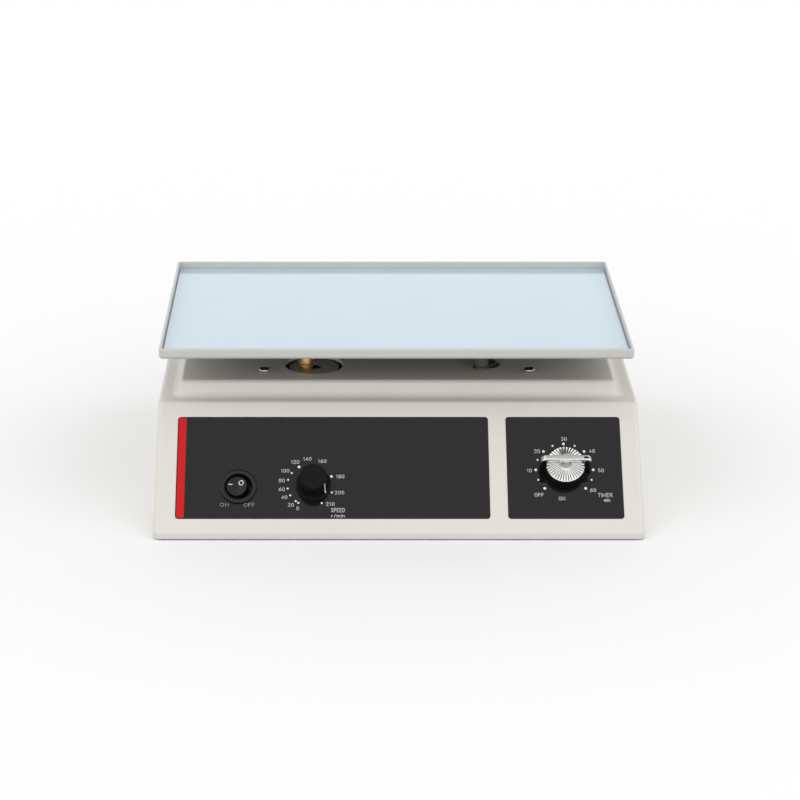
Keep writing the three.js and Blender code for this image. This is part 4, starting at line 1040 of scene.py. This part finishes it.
dress(on_face(make_timer_skirt(), TIMER), "timer_control", KNOB_BLACK, "black_plastic", "timer_skirt")
timer_cap = make_cap()
# The lower halves of the flutes get the greyer chrome: painted shade
flutes = [polygon.index for polygon in timer_cap.data.polygons if in_a_flute(polygon)]
dress(on_face(timer_cap, TIMER), "timer_control", CHROME, "bright_cap", "timer_cap")
second_finish(timer_cap, CHROME_FLUTE_SHADE, flutes)
dress(on_face(make_grip(), TIMER), "timer_control", SATIN, "grip_grey", "timer_grip")
inlay = slab("timer_grip_inlay", (11.75, 15.05, -0.7, 0.7), 18.0, 18.75, 0.4, 0.05, 4)
dress(on_face(inlay, TIMER), "timer_control", KNOB_BLACK, "grip_grey")


# Rear fittings
inlet = slab("mains_inlet", (-25, 25, -12, 12), -1.7, 0, 3.0, 0.5)
inlet_body = slab("inlet_body_tool", (-13.8, 13.8, -10, 10), -22, -0.8, 2.0, 0.1)
inlet_room = slab("inlet_room_tool", (-12, 12, -8.2, 8.2), -15, 3, 1.5, 0.1)
combine(inlet, [inlet_body], "UNION")
combine(inlet, [inlet_room])
dress(on_rear(inlet, INLET), "base", INLET_BLACK, "black_plastic", "power_inlet")
blades = [slab("blade", (x - 1, x + 1, -2, 2), -15.2, -6.5, 0.6, 0.4, 4) for x in (-7, 0, 7)]
dress(on_rear(joined("inlet_blades", blades), INLET), "base", NICKEL, "screw_steel")

fuse = lathe("fuse_cap", [
    (0, -26), (6.2, -26), (6.2, -1.7), (7.7, -1.7), (8.0, -1.4), (8.0, -0.5),
    *arc((7.5, -0.5), 0.5, 0, 90, 3), (0, 0),
], 64)
fuse_slot = slab("fuse_slot_tool", (-4.5, 4.5, -0.6, 0.6), -0.8, 2, 0.2, 0.05, 2)
dress(on_rear(combine(fuse, [fuse_slot]), FUSE), "base", INLET_BLACK, "black_plastic", "fuse_holder")


# Solids whose shape is right keep it, and get their finish
CARRIED = {
    "base_plate": ZINC, "mounting_plate": ZINC, "motor_bracket": ZINC, "gear_motor": ZINC,
    "potentiometer": ZINC, "timer_body": ZINC, "motor_shaft": STEEL, "potentiometer_nut": STEEL,
    "timer_nut": STEEL, "potentiometer_spindle": STEEL, "timer_spindle": STEEL, "control_board": BOARD,
    "transformer": CORE,
}
for end in ("front_left", "front_right", "rear_left", "rear_right"):
    CARRIED["foot_" + end] = RUBBER
    CARRIED["base_screw_" + end] = NICKEL
    CARRIED["tray_screw_" + end] = NICKEL
for end in IDLERS:
    CARRIED["idler_bearing_" + end] = GREY_STEEL
    CARRIED["idler_crank_" + end] = GREY_STEEL
    CARRIED["idler_pin_" + end] = STEEL
for name, finish in CARRIED.items():
    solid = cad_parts[name]
    solid.data.materials.clear()
    solid.data.materials.append(finish)


# Floor
FLOOR_REACH = 9000


def make_floor():
    """A white paper floor. It looks white, and lights the object less than white paper would."""
    corners = [(x * FLOOR_REACH, y * FLOOR_REACH, 0) for x, y in ((-1, -1), (1, -1), (1, 1), (-1, 1))]
    floor = mesh_piece("studio_floor", corners, [(0, 1, 2, 3)])
    made, tree, shader, _ = material("matt_white_paper", "#F8F8F8", 0.9, Specular_IOR_Level=0.0)
    path = add(tree, "LightPath")
    seen = add(tree, "Math", {"operation": "MAXIMUM"}, {
        0: (path, "Is Camera Ray"), 1: (path, "Is Glossy Ray")})
    seen = add(tree, "Math", {"operation": "MAXIMUM"}, {
        0: (seen, "Value"), 1: (path, "Is Transmission Ray")})
    tone = add(tree, "ValToRGB", inputs={"Fac": (seen, "Value")})
    tone.color_ramp.elements[0].color = linear("#B8B8B8")
    tone.color_ramp.elements[1].color = linear("#FCFCFC")
    tree.links.new(tone.outputs["Color"], shader.inputs["Base Color"])
    floor.data.materials.append(made)


make_floor()


# Studio light: a dome in three zones by height. Low down it is bright all round, but dim behind near
# the horizon. Its middle ring is dimmer in front and dimmest behind, and overhead it is dim all over.
LIGHT_FRONT = 1.75
LIGHT_SIDES = 1.4
LIGHT_BACK = 1.75
LIGHT_BACK_FLAT = 0.3
RING_FRONT = 1.15
RING_SIDES = 1.4
RING_BACK = 0.55
LIGHT_OVERHEAD = 0.55


def make_light():
    """The dome. Z is the sine of the height, and the bearing's Y is -1 in front and 1 behind."""
    world = bpy.data.worlds.new("studio_dome")
    world.use_nodes = True
    bpy.context.scene.world = world
    tree = world.node_tree
    background = tree.nodes["Background"]
    place = add(tree, "TexCoord")
    way = add(tree, "SeparateXYZ", inputs={"Vector": (place, "Generated")})
    level_way = add(tree, "VectorMath", {"operation": "MULTIPLY"}, {0: (place, "Generated"), 1: (1, 1, 0)})
    level_way = add(tree, "VectorMath", {"operation": "NORMALIZE"}, {0: (level_way, "Vector")})
    bearing = add(tree, "SeparateXYZ", inputs={"Vector": (level_way, "Vector")})

    def blend(axis, start, end, first, second):
        """A soft change from one strength to another between two values of an axis."""
        return add(tree, "MapRange", {"interpolation_type": "SMOOTHSTEP"}, {
            "Value": axis, "From Min": start, "From Max": end, "To Min": first, "To Max": second})

    low = blend((bearing, "Y"), -0.35, -0.75, LIGHT_SIDES, LIGHT_FRONT)
    back = blend((way, "Z"), 0.15, 0.23, LIGHT_BACK_FLAT, LIGHT_BACK)
    low = blend((bearing, "Y"), -0.05, 0.4, (low, "Result"), (back, "Result"))
    ring = blend((bearing, "Y"), -0.35, -0.75, RING_SIDES, RING_FRONT)
    ring = blend((bearing, "Y"), 0.0, 0.5, (ring, "Result"), RING_BACK)
    level = blend((way, "Z"), 0.44, 0.54, (low, "Result"), (ring, "Result"))
    level = blend((way, "Z"), 0.86, 0.925, (level, "Result"), LIGHT_OVERHEAD)
    tree.links.new(level.outputs["Result"], background.inputs["Strength"])
    background.inputs["Color"].default_value = (1, 1, 1, 1)


make_light()


# Camera
camera = bpy.data.objects.new("camera", bpy.data.cameras.new("camera"))
camera.location = metres(CAMERA_PLACE)
camera.rotation_euler = (math.radians(90 - CAMERA_DOWN), 0, 0)
camera.data.lens = CAMERA_LENS
camera.data.sensor_width = CAMERA_SENSOR
camera.data.shift_x = CAMERA_SHIFT
camera.data.clip_end = CAMERA_REACH
bpy.context.scene.collection.objects.link(camera)
bpy.context.scene.camera = camera
bpy.context.scene.view_settings.view_transform = "Standard"
